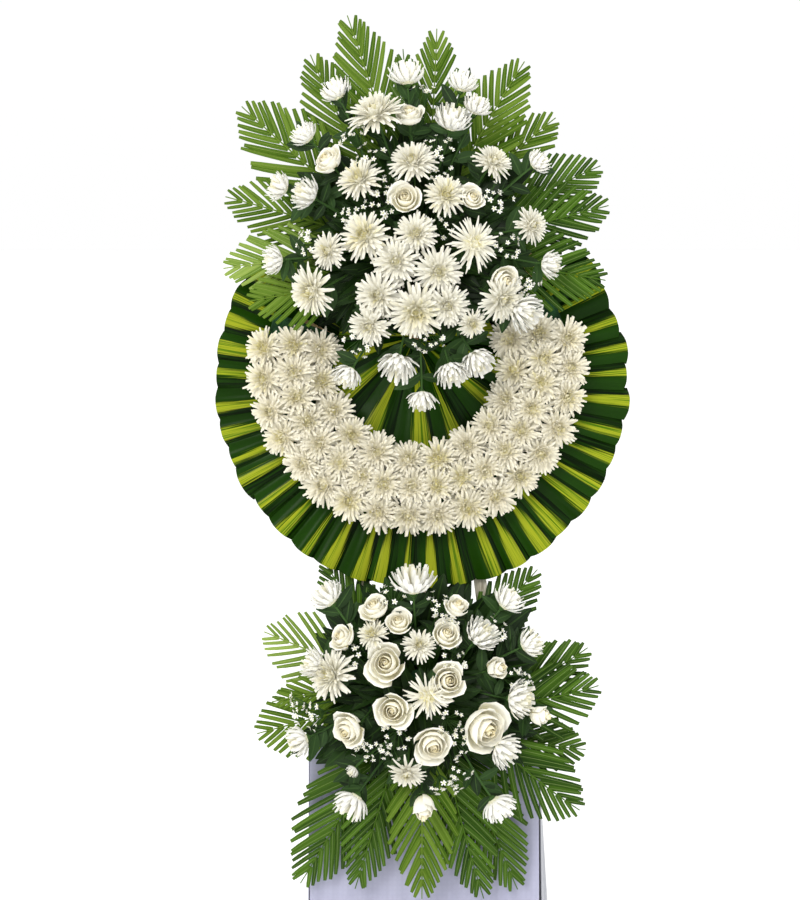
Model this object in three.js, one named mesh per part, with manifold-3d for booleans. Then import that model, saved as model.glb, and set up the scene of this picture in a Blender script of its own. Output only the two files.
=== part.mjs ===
// A standing funeral wreath on a nailed wooden easel, in millimetres, +Z up, its front towards -Y.
// A round board leans on the easel. It carries a collar of folded striped leaves, a horseshoe ring
// of white chrysanthemum heads and a large spray above; a second spray stands on a short shelf below.

import * as THREE from 'three';
import { mergeVertices } from 'three/addons/utils/BufferGeometryUtils.js';
import Module from 'manifold-3d';

const wasm = await Module();
wasm.setup();

// Driving dimensions of the stand
const LEAN = THREE.MathUtils.degToRad(8);
const LEG_SIDE = 24;
const LEG_FRONT = -9.3;
const LEG_FOOT_X = 200;
const LEG_TOP_X = 22;
const LEG_TOP_HEIGHT = 1440;
const REAR_FOOT_BACK = 430;
const HEAD_BLOCK = { width: 120, bottom: 1380, top: 1440, depth: 24 };
const RAIL = { left: -213, right: 222, bottom: 385, top: 415, back: -9, front: 3 };
const SHELF = { left: -118, right: 118, bottom: 424, top: 436, back: -9, front: 28 };

// Clear space between touching pieces, and the sizes below which corners and slivers are merged
const GAP = 0.3;
const SLIVER = 0.1;
const SAME_CORNER = 1e-4;

// Driving dimensions of the round panel, heights measured up the leaning board
const DISC_X = 0;
const DISC_HEIGHT = 1096;
const BOARD_RADIUS = 335;
const BOARD_THICKNESS = 9;
const RING_X = -9.5;
const RING_HEIGHT = 1130;
const RING_INNER = 160;
const RING_OUTER = 285;
const RING_FOAM_DEPTH = 40;
const COLLAR_CREST_RADIUS = 392;
const COLLAR_VALLEY_RADIUS = 374;
const COLLAR_INNER_RADIUS = 288;
const COLLAR_LEAVES = 32;
const COLLAR_PIECES = 4;
const COLLAR_PITCH = 8;
const COLLAR_START = 52;
const COLLAR_LEAF_THICKNESS = 1.2;

// Foam blocks of the two sprays
const UPPER_FOAM = { left: -123, right: 107, bottom: 1262, top: 1422, back: 0.3, front: 100 };
const LOWER_FOAM = { left: -115, right: 115, bottom: 436.3, top: 597, back: -9, front: 91 };

// The photograph's scale and viewpoint: columns and rows turn into sideways position and height
const MM_PER_PIXEL = 1.9;
const VIEW_DISTANCE = 3200;
const VIEW_COLUMN = 400;
const VIEW_ROW = 450;
const VIEW_X = -41.8;
const VIEW_HEIGHT = 969;

const WHITE_PETAL = 0xf3efe2;
const CREAM_PETAL = 0xf0ead2;
const FROND_GREEN = 0x4f7a2c;
const STRIPED_GREEN = 0x2c4a17;
const FOAM_GREEN = 0x2f5a3a;
const TIMBER = 0xb99a6b;
const PLYWOOD = 0xc8a878;
const SKIRT_LAVENDER = 0xaaadc2;
const SKIRT_GREY = 0x979999;

// Small seeded generator, so that every leaf keeps its own fixed irregularity
let seed = 20;

function random() {
  seed = (seed * 1664525 + 1013904223) % 4294967296;
  return seed / 4294967296;
}

function between(low, high) {
  return low + (high - low) * random();
}

// Points are given as sideways position, distance forward of the board and height up the board
function point(x, forward, height) {
  return new THREE.Vector3(x, -forward, height);
}

function place(column, row, forward) {
  const nearness = (VIEW_DISTANCE - forward) / VIEW_DISTANCE;
  const scale = MM_PER_PIXEL * nearness;
  return point(VIEW_X + (column - VIEW_COLUMN) * scale, forward, VIEW_HEIGHT + (VIEW_ROW - row) * scale);
}

// Clock angles run clockwise from straight up, seen from the front
function clock(degrees) {
  const angle = THREE.MathUtils.degToRad(degrees);
  return { x: Math.sin(angle), height: Math.cos(angle) };
}

function toSolid(geometry) {
  const bare = geometry.clone();
  bare.deleteAttribute('normal');
  bare.deleteAttribute('uv');
  const merged = mergeVertices(bare, SAME_CORNER);
  const vertProperties = new Float32Array(merged.attributes.position.array);
  const triVerts = new Uint32Array(merged.index.array);
  return new wasm.Manifold(new wasm.Mesh({ numProp: 3, vertProperties, triVerts }));
}

function toGeometry(solid) {
  const mesh = solid.getMesh();
  const geometry = new THREE.BufferGeometry();
  geometry.setAttribute('position', new THREE.BufferAttribute(mesh.vertProperties, 3));
  geometry.setIndex(new THREE.BufferAttribute(mesh.triVerts, 1));
  geometry.computeVertexNormals();
  return geometry;
}

// Joins overlapping pieces and smooths away the slivers where their faces meet
function join(solids) {
  return solids.reduce((whole, piece) => whole.add(piece)).simplify(SLIVER);
}

// Keeps the largest body where a trim has left a loose petal tip
function largest(solid) {
  const bodies = solid.decompose();
  bodies.sort((a, b) => b.volume() - a.volume());
  return bodies[0];
}

// A closed solid from a flat list of corners and triangles, turned so that its faces point outwards
function closedGeometry(corners, triangles) {
  let volume = 0;
  for (const [a, b, c] of triangles) {
    volume += corners[a].dot(new THREE.Vector3().crossVectors(corners[b], corners[c]));
  }
  const index = triangles.flatMap(([a, b, c]) => (volume > 0 ? [a, b, c] : [a, c, b]));
  const geometry = new THREE.BufferGeometry();
  geometry.setFromPoints(corners);
  geometry.setIndex(index);
  return geometry;
}

// A thin sheet between two matching grids of points, front and back split into the same triangles
function sheetGeometry(front, back) {
  const rows = front.length;
  const columns = front[0].length;
  const corners = [...front.flat(), ...back.flat()];
  const offset = rows * columns;
  const at = (row, column) => row * columns + column;
  const triangles = [];
  for (let row = 0; row + 1 < rows; row += 1) {
    for (let column = 0; column + 1 < columns; column += 1) {
      const a = at(row, column);
      const b = at(row, column + 1);
      const c = at(row + 1, column + 1);
      const d = at(row + 1, column);
      triangles.push([a, b, c], [a, c, d]);
      triangles.push([offset + a, offset + c, offset + b], [offset + a, offset + d, offset + c]);
    }
  }
  const rim = [];
  for (let column = 0; column < columns; column += 1) {
    rim.push(at(0, column));
  }
  for (let row = 1; row < rows; row += 1) {
    rim.push(at(row, columns - 1));
  }
  for (let column = columns - 2; column >= 0; column -= 1) {
    rim.push(at(rows - 1, column));
  }
  for (let row = rows - 2; row > 0; row -= 1) {
    rim.push(at(row, 0));
  }
  rim.forEach((a, i) => {
    const b = rim[(i + 1) % rim.length];
    triangles.push([b, a, offset + a], [b, offset + a, offset + b]);
  });
  return closedGeometry(corners, triangles);
}

// A block given by its limits across, forward and up the board
function block(limits) {
  const geometry = new THREE.BoxGeometry(
    limits.right - limits.left,
    limits.front - limits.back,
    limits.top - limits.bottom,
  );
  geometry.translate(
    (limits.left + limits.right) / 2,
    -(limits.front + limits.back) / 2,
    (limits.top + limits.bottom) / 2,
  );
  return geometry;
}

// An upright outline (x, height) given thickness forward of the board
function panel(shape, back, front) {
  const geometry = new THREE.ExtrudeGeometry(shape, { depth: front - back, bevelEnabled: false });
  geometry.rotateX(Math.PI / 2);
  geometry.translate(0, -back, 0);
  return geometry;
}

// Bloom outlines for a radius of one: each whorl is [tip radius, tip rise, valley radius, valley rise]
const OPEN_MUM = {
  petals: 5,
  base: -0.42,
  whorls: [[1, 0.14, 0.78, -0.04], [0.68, 0.44, 0.46, 0.24]],
  centre: 0.3,
};
const CUPPED_MUM = {
  petals: 5,
  base: -0.62,
  whorls: [[1, 0.3, 0.76, -0.08], [0.64, 0.74, 0.46, 0.36]],
  centre: 0.5,
};
const OPEN_ROSE = {
  petals: 5,
  base: -0.85,
  whorls: [[0.72, -0.5, 0.72, -0.5], [1, 0.16, 0.92, 0.02], [0.6, 0.36, 0.54, 0.24]],
  centre: 0.26,
};
const ROSE_BUD = {
  petals: 5,
  base: -1.1,
  whorls: [[0.8, -0.6, 0.8, -0.6], [0.86, 0.25, 0.78, 0.1], [0.44, 0.75, 0.4, 0.6]],
  centre: 0.66,
};

// Joins two rings of corners that run the same way round, with as many triangles as both have sides
function stitch(triangles, low, lowCount, high, highCount) {
  let i = 0;
  let j = 0;
  while (i < lowCount || j < highCount) {
    const a = low + (i % lowCount);
    const b = high + (j % highCount);
    if (j >= highCount || (i < lowCount && (i + 1) / lowCount <= (j + 1) / highCount)) {
      triangles.push([a, low + ((i + 1) % lowCount), b]);
      i += 1;
    } else {
      triangles.push([a, high + ((j + 1) % highCount), b]);
      j += 1;
    }
  }
}

const STALK_SIDES = 3;
const BLOOM_STALK_RADIUS = 2.6;

// One bloom: star-shaped whorls that rise to a slightly sunken heart. Below them is either a pointed
// calyx or a three-sided stalk that follows a path up from its foot.
function bloomGeometry(kind, centre, facing, radius, spin, options = {}) {
  const { path = [], stalk = BLOOM_STALK_RADIUS, baseDepth = kind.base * radius } = options;
  const turn = new THREE.Quaternion().setFromUnitVectors(new THREE.Vector3(0, 0, 1), facing);
  const corners = [];
  const triangles = [];
  const arms = [];
  for (let side = 0; side < STALK_SIDES; side += 1) {
    const angle = spin + (side * 2 * Math.PI) / STALK_SIDES;
    arms.push(new THREE.Vector3(Math.cos(angle), Math.sin(angle), 0).applyQuaternion(turn));
  }
  const neck = centre.clone().addScaledVector(facing, baseDepth);
  path.forEach((spot, i) => {
    const ahead = (path[i + 1] ?? neck).clone().sub(spot).normalize();
    const swing = new THREE.Quaternion().setFromUnitVectors(facing, ahead);
    for (const arm of arms) {
      corners.push(arm.clone().applyQuaternion(swing).multiplyScalar(stalk).add(spot));
    }
  });
  if (path.length > 0) {
    arms.forEach((arm) => corners.push(arm.clone().multiplyScalar(stalk).add(neck)));
    triangles.push([0, 2, 1]);
    path.forEach((_, i) => stitch(triangles, i * 3, STALK_SIDES, (i + 1) * 3, STALK_SIDES));
  } else {
    corners.push(neck);
  }
  const neckStart = path.length * STALK_SIDES;
  const first = corners.length;
  const count = kind.petals * 2;
  kind.whorls.forEach(([tipRadius, tipRise, valleyRadius, valleyRise], level) => {
    for (let i = 0; i < count; i += 1) {
      const isTip = (i + level) % 2 === 0;
      const angle = spin + (i * Math.PI) / kind.petals;
      const r = (isTip ? tipRadius : valleyRadius) * radius;
      const rise = (isTip ? tipRise : valleyRise) * radius;
      const corner = new THREE.Vector3(r * Math.cos(angle), r * Math.sin(angle), rise);
      corners.push(corner.applyQuaternion(turn).add(centre));
    }
  });
  corners.push(centre.clone().addScaledVector(facing, kind.centre * radius));
  const heart = corners.length - 1;
  if (path.length > 0) stitch(triangles, neckStart, STALK_SIDES, first, count);
  for (let i = 0; i < count; i += 1) {
    const next = (i + 1) % count;
    if (path.length === 0) triangles.push([0, first + next, first + i]);
    for (let level = 0; level + 1 < kind.whorls.length; level += 1) {
      const low = first + level * count;
      const high = low + count;
      triangles.push([low + i, low + next, high + next], [low + i, high + next, high + i]);
    }
    const last = first + (kind.whorls.length - 1) * count;
    triangles.push([last + i, last + next, heart]);
  }
  return closedGeometry(corners, triangles);
}

const LEAF_RIB_RISE = 2.2;
const LEAF_WIDEST = 0.45;

// A small pointed leaf with a raised rib, from its stalk end to its tip
function leafGeometry(from, to, halfWidth, facing) {
  const along = to.clone().sub(from);
  const side = new THREE.Vector3().crossVectors(along, facing).normalize().multiplyScalar(halfWidth);
  const up = facing.clone().multiplyScalar(LEAF_RIB_RISE);
  const middle = from.clone().lerp(to, LEAF_WIDEST);
  const corners = [
    from.clone(),
    middle.clone().add(side),
    to.clone(),
    middle.clone().sub(side),
    middle.clone().add(up),
    middle.clone().sub(up),
  ];
  const triangles = [];
  for (let i = 0; i < 4; i += 1) {
    const next = (i + 1) % 4;
    triangles.push([i, next, 4], [next, i, 5]);
  }
  return closedGeometry(corners, triangles);
}

// Palm fronds: a flat stalk that tapers into the rib, with broad leaflets cut to the rib
const FROND_LEAFLETS = 5;
const STALK_HALF_WIDTH = 3;
const STALK_THICKNESS = 4;
const PEG_LENGTH = 14;
const BARE_STALK = 34;
const BARE_STALK_MOST = 0.3;
const LEAFLETS_END = 0.95;
const LEAFLET_SHARE = { start: 0.06, end: 0.86 };
const LEAFLET_LEAN = { root: 56, tip: 32 };
const SWELL = { root: 0.24, tip: 0.86 };
const RIB_HALF_WIDTH = { root: 2.4, tip: 1.2 };
const RIB_END_HALF_WIDTH = 1.4;
const TIP_HALF_WIDTH = 2.5;
const BLADE_THICKNESS = 0.9;
const BLADE_TAPER = 1.1;
const LEAFLET_DROOP = 4;
const FLAT_BESIDE_RIB = 6;
const FROND_BOW = { start: 140, span: 260, depth: 12 };
const STALK_HOLE = { halfWidth: 4, thickness: 4.8, above: 6 };

// How far a spray's fronds bow backwards with distance from the spray's middle
function bow(distance) {
  const beyond = Math.max(0, distance - FROND_BOW.start) / FROND_BOW.span;
  return -FROND_BOW.depth * beyond * beyond;
}

// Where the line from a spray's middle towards a point leaves its foam block
function leavesBlock(foam, middle, towards) {
  const direction = towards.clone().sub(middle).normalize();
  const sideways = direction.x > 0 ? foam.right - middle.x : foam.left - middle.x;
  const upwards = direction.y > 0 ? foam.top - middle.y : foam.bottom - middle.y;
  const reach = Math.min(sideways / (direction.x || 1e-9), upwards / (direction.y || 1e-9));
  return middle.clone().addScaledVector(direction, Math.abs(reach));
}

class Frond {
  constructor(spray, data) {
    const [name, tip, rib, halfWidth, layer, options = {}] = data;
    this.name = name;
    this.layer = layer;
    this.fall = options.fall ?? 0;
    this.spray = spray;
    this.halfWidth = halfWidth;
    const tipPlace = place(tip[0], tip[1], layer);
    const ribPlace = place(rib[0], rib[1], layer);
    this.tip = new THREE.Vector2(tipPlace.x, tipPlace.z);
    this.rib = new THREE.Vector2(ribPlace.x, ribPlace.z);
    this.root = options.root
      ? new THREE.Vector2(options.root[0], options.root[1])
      : leavesBlock(spray.foam, spray.middle, this.rib);
    this.curve = new THREE.QuadraticBezierCurve(this.root, this.rib, this.tip);
    this.length = this.curve.getLength();
    this.inward = this.curve.getTangent(0).negate();
    this.samples = this.curve.getSpacedPoints(24);
  }

  outline() {
    const stalkEnd = this.root.clone().addScaledVector(this.inward, PEG_LENGTH);
    const sides = [[], []];
    const first = Math.min(BARE_STALK_MOST, BARE_STALK / this.length);
    const pitch = (LEAFLETS_END - first) / FROND_LEAFLETS;
    [1, -1].forEach((sign, which) => {
      const acrossAt = (t) => {
        const tangent = this.curve.getTangentAt(t);
        return new THREE.Vector2(-tangent.y * sign, tangent.x * sign);
      };
      sides[which].push(stalkEnd.clone().addScaledVector(acrossAt(0), STALK_HALF_WIDTH));
      for (let i = 0; i < FROND_LEAFLETS; i += 1) {
        const t = first + i * pitch;
        const ribHalf = THREE.MathUtils.lerp(RIB_HALF_WIDTH.root, RIB_HALF_WIDTH.tip, t);
        sides[which].push(this.curve.getPointAt(t).addScaledVector(acrossAt(t), ribHalf));
        const stage = THREE.MathUtils.lerp(SWELL.root, SWELL.tip, i / (FROND_LEAFLETS - 1));
        const reach = this.halfWidth * Math.sin(Math.PI * stage) * between(0.93, 1.05);
        const lean = THREE.MathUtils.degToRad(THREE.MathUtils.lerp(LEAFLET_LEAN.root, LEAFLET_LEAN.tip, t));
        const full = reach / Math.sin(lean);
        for (const [share, length] of [[LEAFLET_SHARE.start, full], [LEAFLET_SHARE.end, 0.94 * full]]) {
          const at = t + share * pitch;
          const outwards = acrossAt(at).multiplyScalar(Math.sin(lean));
          const heading = outwards.addScaledVector(this.curve.getTangentAt(at), Math.cos(lean));
          sides[which].push(this.curve.getPointAt(at).addScaledVector(heading, length));
        }
      }
      const ribEnd = this.curve.getPointAt(LEAFLETS_END);
      sides[which].push(ribEnd.addScaledVector(acrossAt(LEAFLETS_END), RIB_END_HALF_WIDTH));
      sides[which].push(this.tip.clone().addScaledVector(acrossAt(1), TIP_HALF_WIDTH));
    });
    return new THREE.Shape([...sides[0], ...sides[1].reverse()]);
  }

  // The blade bows back along its length and its leaflets droop a little to either side
  geometry() {
    const flat = new THREE.ExtrudeGeometry(this.outline(), { depth: 1, bevelEnabled: false });
    const positions = flat.attributes.position;
    for (let i = 0; i < positions.count; i += 1) {
      const at = new THREE.Vector2(positions.getX(i), positions.getY(i));
      const distances = this.samples.map((sample) => sample.distanceTo(at));
      const offRib = Math.min(...distances);
      const along = Math.min(1, at.distanceTo(this.root) / this.length);
      const inFoam = at.clone().sub(this.root).dot(this.inward) > 0;
      const growth = inFoam ? 0 : along;
      const offShare = inFoam ? 0 : Math.min(1, Math.max(0, offRib - FLAT_BESIDE_RIB) / this.halfWidth);
      const droop = LEAFLET_DROOP * offShare ** 2;
      const thickness = Math.max(BLADE_THICKNESS, STALK_THICKNESS * (1 - BLADE_TAPER * growth));
      const centre = this.layer + this.fall * growth + bow(at.distanceTo(this.spray.middle)) - droop;
      const forward = centre + (positions.getZ(i) - 0.5) * thickness;
      positions.setXYZ(i, at.x, -forward, at.y);
    }
    return flat;
  }

  solid() {
    return toSolid(this.geometry());
  }

  // The plain hole in the foam that the stalk stands in
  hole() {
    const { halfWidth, thickness, above } = STALK_HOLE;
    const hole = new THREE.BoxGeometry(2 * halfWidth, thickness, PEG_LENGTH + GAP + above);
    hole.translate(0, 0, (PEG_LENGTH + GAP - above) / 2);
    hole.rotateY(Math.atan2(this.inward.x, this.inward.y));
    hole.translate(this.root.x, -this.layer, this.root.y);
    return toSolid(hole);
  }
}

// Sprays of flowers: each gathers its blooms into bunches, and each bunch keeps to its own wedge of
// clock angles around the spray's middle. The middle bunch fills the column ahead of that middle.
const PEG_SIDE = 12;
const PEG_DEPTH = 38;

const UPPER_SPRAY = {
  foam: UPPER_FOAM,
  reach: 335,
  crown: 178,
  floor: 136,
  apex: [420, 250],
  column: { left: 381, right: 460, top: 180, bottom: 288 },
};

const LOWER_SPRAY = {
  foam: LOWER_FOAM,
  reach: 250,
  crown: 166,
  floor: 127,
  apex: [418, 700],
  column: { left: 364, right: 463, top: 649, bottom: 760 },
};

for (const spray of [UPPER_SPRAY, LOWER_SPRAY]) {
  const middle = place(spray.apex[0], spray.apex[1], spray.foam.front + 40);
  spray.middle = new THREE.Vector2(middle.x, middle.z);
}

// Blooms are listed by kind (M chrysanthemum, R open rose, B rosebud), photo place and width in pixels
const UPPER_BUNCHES = [
  {
    name: 'upper_bunch_top',
    from: -25.5,
    to: 28.5,
    root: 52,
    filler: [430, 96],
    blooms: [
      ['M', 407, 77, 34], ['M', 462, 85, 30], ['M', 476, 108, 28], ['M', 378, 116, 44],
      ['R', 409, 117, 32], ['M', 451, 122, 34], ['M', 413, 160, 40],
    ],
  },
  {
    name: 'upper_bunch_right',
    from: 28.5,
    to: 101,
    root: 62,
    filler: [500, 197],
    blooms: [
      ['M', 492, 163, 36], ['M', 537, 162, 28], ['R', 474, 198, 28], ['M', 530, 226, 34],
      ['M', 479, 240, 44], ['M', 548, 263, 28],
    ],
  },
  {
    name: 'upper_bunch_low_right',
    from: 101,
    to: 138,
    root: 50,
    filler: [531, 280],
    blooms: [['R', 504, 283, 34], ['M', 500, 300, 40], ['M', 523, 311, 36]],
  },
  {
    name: 'upper_bunch_low',
    from: 138,
    to: 239,
    root: 40,
    filler: [352, 350],
    blooms: [
      ['M', 380, 299, 42], ['M', 416, 311, 50], ['M', 447, 307, 40], ['M', 370, 326, 38],
      ['M', 471, 324, 26], ['M', 349, 374, 28], ['M', 398, 364, 36], ['M', 451, 371, 32],
      ['M', 476, 360, 34], ['M', 422, 398, 28],
    ],
  },
  {
    name: 'upper_bunch_left',
    from: 239,
    to: 334.5,
    root: 60,
    filler: [346, 211],
    blooms: [
      ['M', 337, 93, 30], ['M', 306, 136, 28], ['R', 328, 161, 33], ['M', 358, 180, 40],
      ['M', 281, 188, 28], ['M', 308, 195, 32], ['M', 362, 236, 42], ['M', 329, 251, 34],
      ['M', 276, 260, 28], ['M', 312, 290, 44],
    ],
  },
  {
    name: 'upper_bunch_middle',
    blooms: [
      ['R', 405, 199, 36], ['M', 444, 197, 38], ['M', 416, 234, 38], ['M', 398, 263, 44],
      ['M', 437, 269, 42],
    ],
  },
];

const LOWER_BUNCHES = [
  {
    name: 'lower_bunch_top',
    from: -33.5,
    to: 34,
    root: 56,
    filler: [388, 591],
    blooms: [
      ['M', 413, 584, 42], ['R', 376, 608, 32], ['R', 399, 623, 30], ['R', 456, 607, 28],
      ['R', 445, 632, 32], ['M', 419, 642, 28], ['M', 376, 633, 24],
    ],
  },
  {
    name: 'lower_bunch_right',
    from: 34,
    to: 101,
    root: 66,
    filler: [504, 627],
    blooms: [
      ['M', 507, 602, 32], ['M', 481, 636, 36], ['M', 528, 644, 30], ['B', 498, 669, 30],
      ['M', 518, 697, 36], ['B', 539, 713, 28],
    ],
  },
  {
    name: 'lower_bunch_low_right',
    from: 101,
    to: 155,
    root: 60,
    filler: [460, 782],
    blooms: [['R', 487, 730, 50], ['M', 503, 751, 34], ['M', 497, 805, 34]],
  },
  {
    name: 'lower_bunch_low',
    from: 155,
    to: 228,
    root: 62,
    filler: [386, 772],
    blooms: [['M', 407, 775, 32], ['M', 353, 802, 36], ['B', 423, 806, 34], ['M', 354, 772, 13]],
  },
  {
    name: 'lower_bunch_left',
    from: 228,
    to: 326.5,
    root: 66,
    filler: [298, 712],
    blooms: [
      ['M', 328, 598, 34], ['R', 342, 638, 30], ['M', 333, 676, 46], ['M', 312, 662, 28],
      ['R', 347, 730, 38], ['M', 301, 740, 30],
    ],
  },
  {
    name: 'lower_bunch_middle',
    blooms: [
      ['R', 387, 665, 44], ['R', 447, 681, 41], ['M', 427, 697, 38], ['R', 394, 710, 40],
      ['R', 433, 742, 41],
    ],
  },
];

const FORWARD = new THREE.Vector3(0, -1, 0);
const STANCE_PASSES = 3;
const BLOOM_TILT = THREE.MathUtils.degToRad(76);
const TILT_POWER = 1.2;
const DOME_POWER = 1.6;
const DOME_EDGE = 26;
const BLOOM_CLEAR_OF_FOAM = 3;
const CUPPED_TILT = 0.75;

// Where a bloom stands and where it looks: straight ahead at the middle, outwards at the edge
function bloomStance(spray, column, row, width) {
  let forward = spray.crown;
  let stance = null;
  for (let pass = 0; pass < STANCE_PASSES; pass += 1) {
    const centre = place(column, row, forward);
    const radius = (width / 2) * MM_PER_PIXEL * ((VIEW_DISTANCE - forward) / VIEW_DISTANCE);
    const outwards = new THREE.Vector3(centre.x - spray.middle.x, 0, centre.z - spray.middle.y);
    const share = Math.min(1, outwards.length() / spray.reach);
    const tilt = BLOOM_TILT * share ** TILT_POWER;
    const facing = outwards.normalize().multiplyScalar(Math.sin(tilt));
    facing.addScaledVector(FORWARD, Math.cos(tilt)).normalize();
    const halfDepth = radius * (Math.sin(tilt) + 0.6 * Math.cos(tilt));
    const edge = spray.foam.front + DOME_EDGE;
    const dome = spray.crown - (spray.crown - edge) * share ** DOME_POWER;
    forward = Math.max(spray.foam.front + BLOOM_CLEAR_OF_FOAM + halfDepth, dome);
    stance = { centre: place(column, row, forward), facing, radius, tilt };
  }
  return stance;
}

function bloomKind(letter, tilt) {
  if (letter === 'B') return ROSE_BUD;
  if (letter === 'R') return OPEN_ROSE;
  return tilt > CUPPED_TILT ? CUPPED_MUM : OPEN_MUM;
}

const FILLER_DAISY = { petals: 4, base: -0.5, whorls: [[1, 0.1, 0.5, 0]], centre: 0.35 };
const FILLER_RADIUS = 8;
const FILLER_SPACING = 13;
const FILLER_STALK_RADIUS = 1.5;
const FILLER_FORK = 0.8;

// A few tiny four-petalled flowers on forked stalks
function fillerSolids(start, tip) {
  const fork = start.clone().lerp(tip, FILLER_FORK);
  return [-1, 0, 1].map((side) => {
    const spot = tip.clone();
    if (side !== 0) {
      spot.add(new THREE.Vector3(side * FILLER_SPACING, between(-4, 2), between(-10, 8)));
    }
    const options = { path: side === 0 ? [start] : [fork], stalk: FILLER_STALK_RADIUS };
    const spin = between(0, 1.5);
    return toSolid(bloomGeometry(FILLER_DAISY, spot, FORWARD, FILLER_RADIUS, spin, options));
  });
}

// The space that each bunch may fill reaches past its furthest flower, sideways and forward
const CELL_REACH = 900;
const CELL_FRONT = 420;
const CELL_INSET = 0.2;

// The prism of space that one bunch may fill, a hair inside its wedge of clock angles
function wedgeSolid(spray, bunch) {
  const middleAngle = clock((bunch.from + bunch.to) / 2);
  const half = THREE.MathUtils.degToRad((bunch.to - bunch.from) / 2);
  const inset = CELL_INSET / Math.sin(half);
  const apex = spray.middle.clone().add(
    new THREE.Vector2(middleAngle.x, middleAngle.height).multiplyScalar(inset),
  );
  const corners = [apex];
  for (const share of [0, 0.25, 0.5, 0.75, 1]) {
    const ray = clock(bunch.from + (bunch.to - bunch.from) * share);
    corners.push(apex.clone().add(new THREE.Vector2(ray.x, ray.height).multiplyScalar(CELL_REACH)));
  }
  return toSolid(panel(new THREE.Shape(corners), spray.foam.front + 2 * GAP, CELL_FRONT));
}

const COLUMN_BELOW_CROWN = 10;

// The upright column ahead of the spray's middle, which the middle bunch fills
function columnSolid(spray, grow, back) {
  const depth = spray.crown - COLUMN_BELOW_CROWN;
  const low = place(spray.column.left, spray.column.bottom, depth);
  const high = place(spray.column.right, spray.column.top, depth);
  return toSolid(block({
    left: low.x - grow,
    right: high.x + grow,
    bottom: low.z - grow,
    top: high.z + grow,
    back,
    front: CELL_FRONT,
  }));
}

function pegSolid(x, height, side, back, front) {
  return toSolid(block({
    left: x - side / 2,
    right: x + side / 2,
    bottom: height - side / 2,
    top: height + side / 2,
    back,
    front,
  }));
}

const NEAR_BLOOM = 150;
const KNEE = { near: 0.8, nearRise: 0.3, far: 0.62 };
const FOOT_SPREAD = 3.2;
const PEG_COLLAR = { edge: 9, middle: 8, stalksBelow: 3 };
const FILLER_AHEAD = 26;
const LEAF = { shortest: 64, longest: 90, narrowest: 17, widest: 22, forward: 9, spread: 0.9 };
const LEAFIEST_BUNCH = 5;

class Bunch {
  constructor(spray, data) {
    this.spray = spray;
    this.data = data;
    this.name = data.name;
    this.isMiddle = data.from === undefined;
    const ray = this.isMiddle ? { x: 0, height: 0 } : clock((data.from + data.to) / 2);
    const reach = data.root ?? 0;
    this.rootX = spray.middle.x + ray.x * reach;
    this.rootHeight = spray.middle.y + ray.height * reach;
    this.pegFront = this.isMiddle ? spray.floor + PEG_COLLAR.middle : spray.foam.front + PEG_COLLAR.edge;
  }

  solids() {
    const { spray, data } = this;
    const solids = [];
    const start = point(this.rootX, this.pegFront - PEG_COLLAR.stalksBelow, this.rootHeight);
    const knees = [];
    for (const [letter, column, row, width] of data.blooms) {
      const { centre, facing, radius, tilt } = bloomStance(spray, column, row, width);
      const kind = bloomKind(letter, tilt);
      const neck = centre.clone().addScaledVector(facing, kind.base * radius);
      const bent = !this.isMiddle && neck.distanceTo(start) < NEAR_BLOOM;
      const knee = start.clone().lerp(neck, bent ? KNEE.near : KNEE.far);
      if (bent) {
        knee.y = start.y + (neck.y - start.y) * KNEE.nearRise;
      }
      const outwards = knee.clone().sub(start).setY(0).normalize();
      const foot = start.clone().addScaledVector(outwards, FOOT_SPREAD);
      const path = bent ? [foot, knee] : [foot];
      solids.push(toSolid(bloomGeometry(kind, centre, facing, radius, between(0, 1), { path })));
      knees.push(knee);
    }
    this.addLeaves(solids, start, knees);
    if (!this.isMiddle) {
      const [column, row] = data.filler;
      solids.push(...fillerSolids(start, place(column, row, spray.foam.front + FILLER_AHEAD)));
    }
    return solids;
  }

  // Pointed leaves spread between the stalks, on every other stalk of a large bunch
  addLeaves(solids, start, knees) {
    const leafy = knees.filter((_, i) => i % 2 === 0 || knees.length <= LEAFIEST_BUNCH);
    for (const knee of leafy) {
      const heading = knee.clone().sub(start).setY(0).normalize();
      heading.applyAxisAngle(new THREE.Vector3(0, 1, 0), between(-LEAF.spread, LEAF.spread));
      const tip = knee.clone().addScaledVector(heading, between(LEAF.shortest, LEAF.longest));
      tip.addScaledVector(FORWARD, LEAF.forward);
      solids.push(toSolid(leafGeometry(knee, tip, between(LEAF.narrowest, LEAF.widest), FORWARD)));
    }
  }

  solid() {
    const { spray } = this;
    const flowers = join(this.solids());
    const peg = pegSolid(
      this.rootX,
      this.rootHeight,
      PEG_SIDE,
      spray.foam.front - PEG_DEPTH,
      this.pegFront,
    );
    if (this.isMiddle) {
      return largest(flowers.intersect(columnSolid(spray, 0, spray.floor)).add(peg));
    }
    const clearOfMiddle = pegSolid(spray.middle.x, spray.middle.y, PEG_SIDE + 1, 0, CELL_FRONT);
    const trimmed = flowers
      .intersect(wedgeSolid(spray, this.data))
      .subtract(columnSolid(spray, 2 * CELL_INSET, spray.floor - 2 * CELL_INSET))
      .subtract(clearOfMiddle);
    return largest(trimmed.add(peg));
  }

  hole() {
    return pegSolid(
      this.rootX,
      this.rootHeight,
      PEG_SIDE + 2 * GAP,
      this.spray.foam.front - PEG_DEPTH - GAP,
      this.spray.foam.front + PEG_COLLAR.edge,
    );
  }
}

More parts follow.
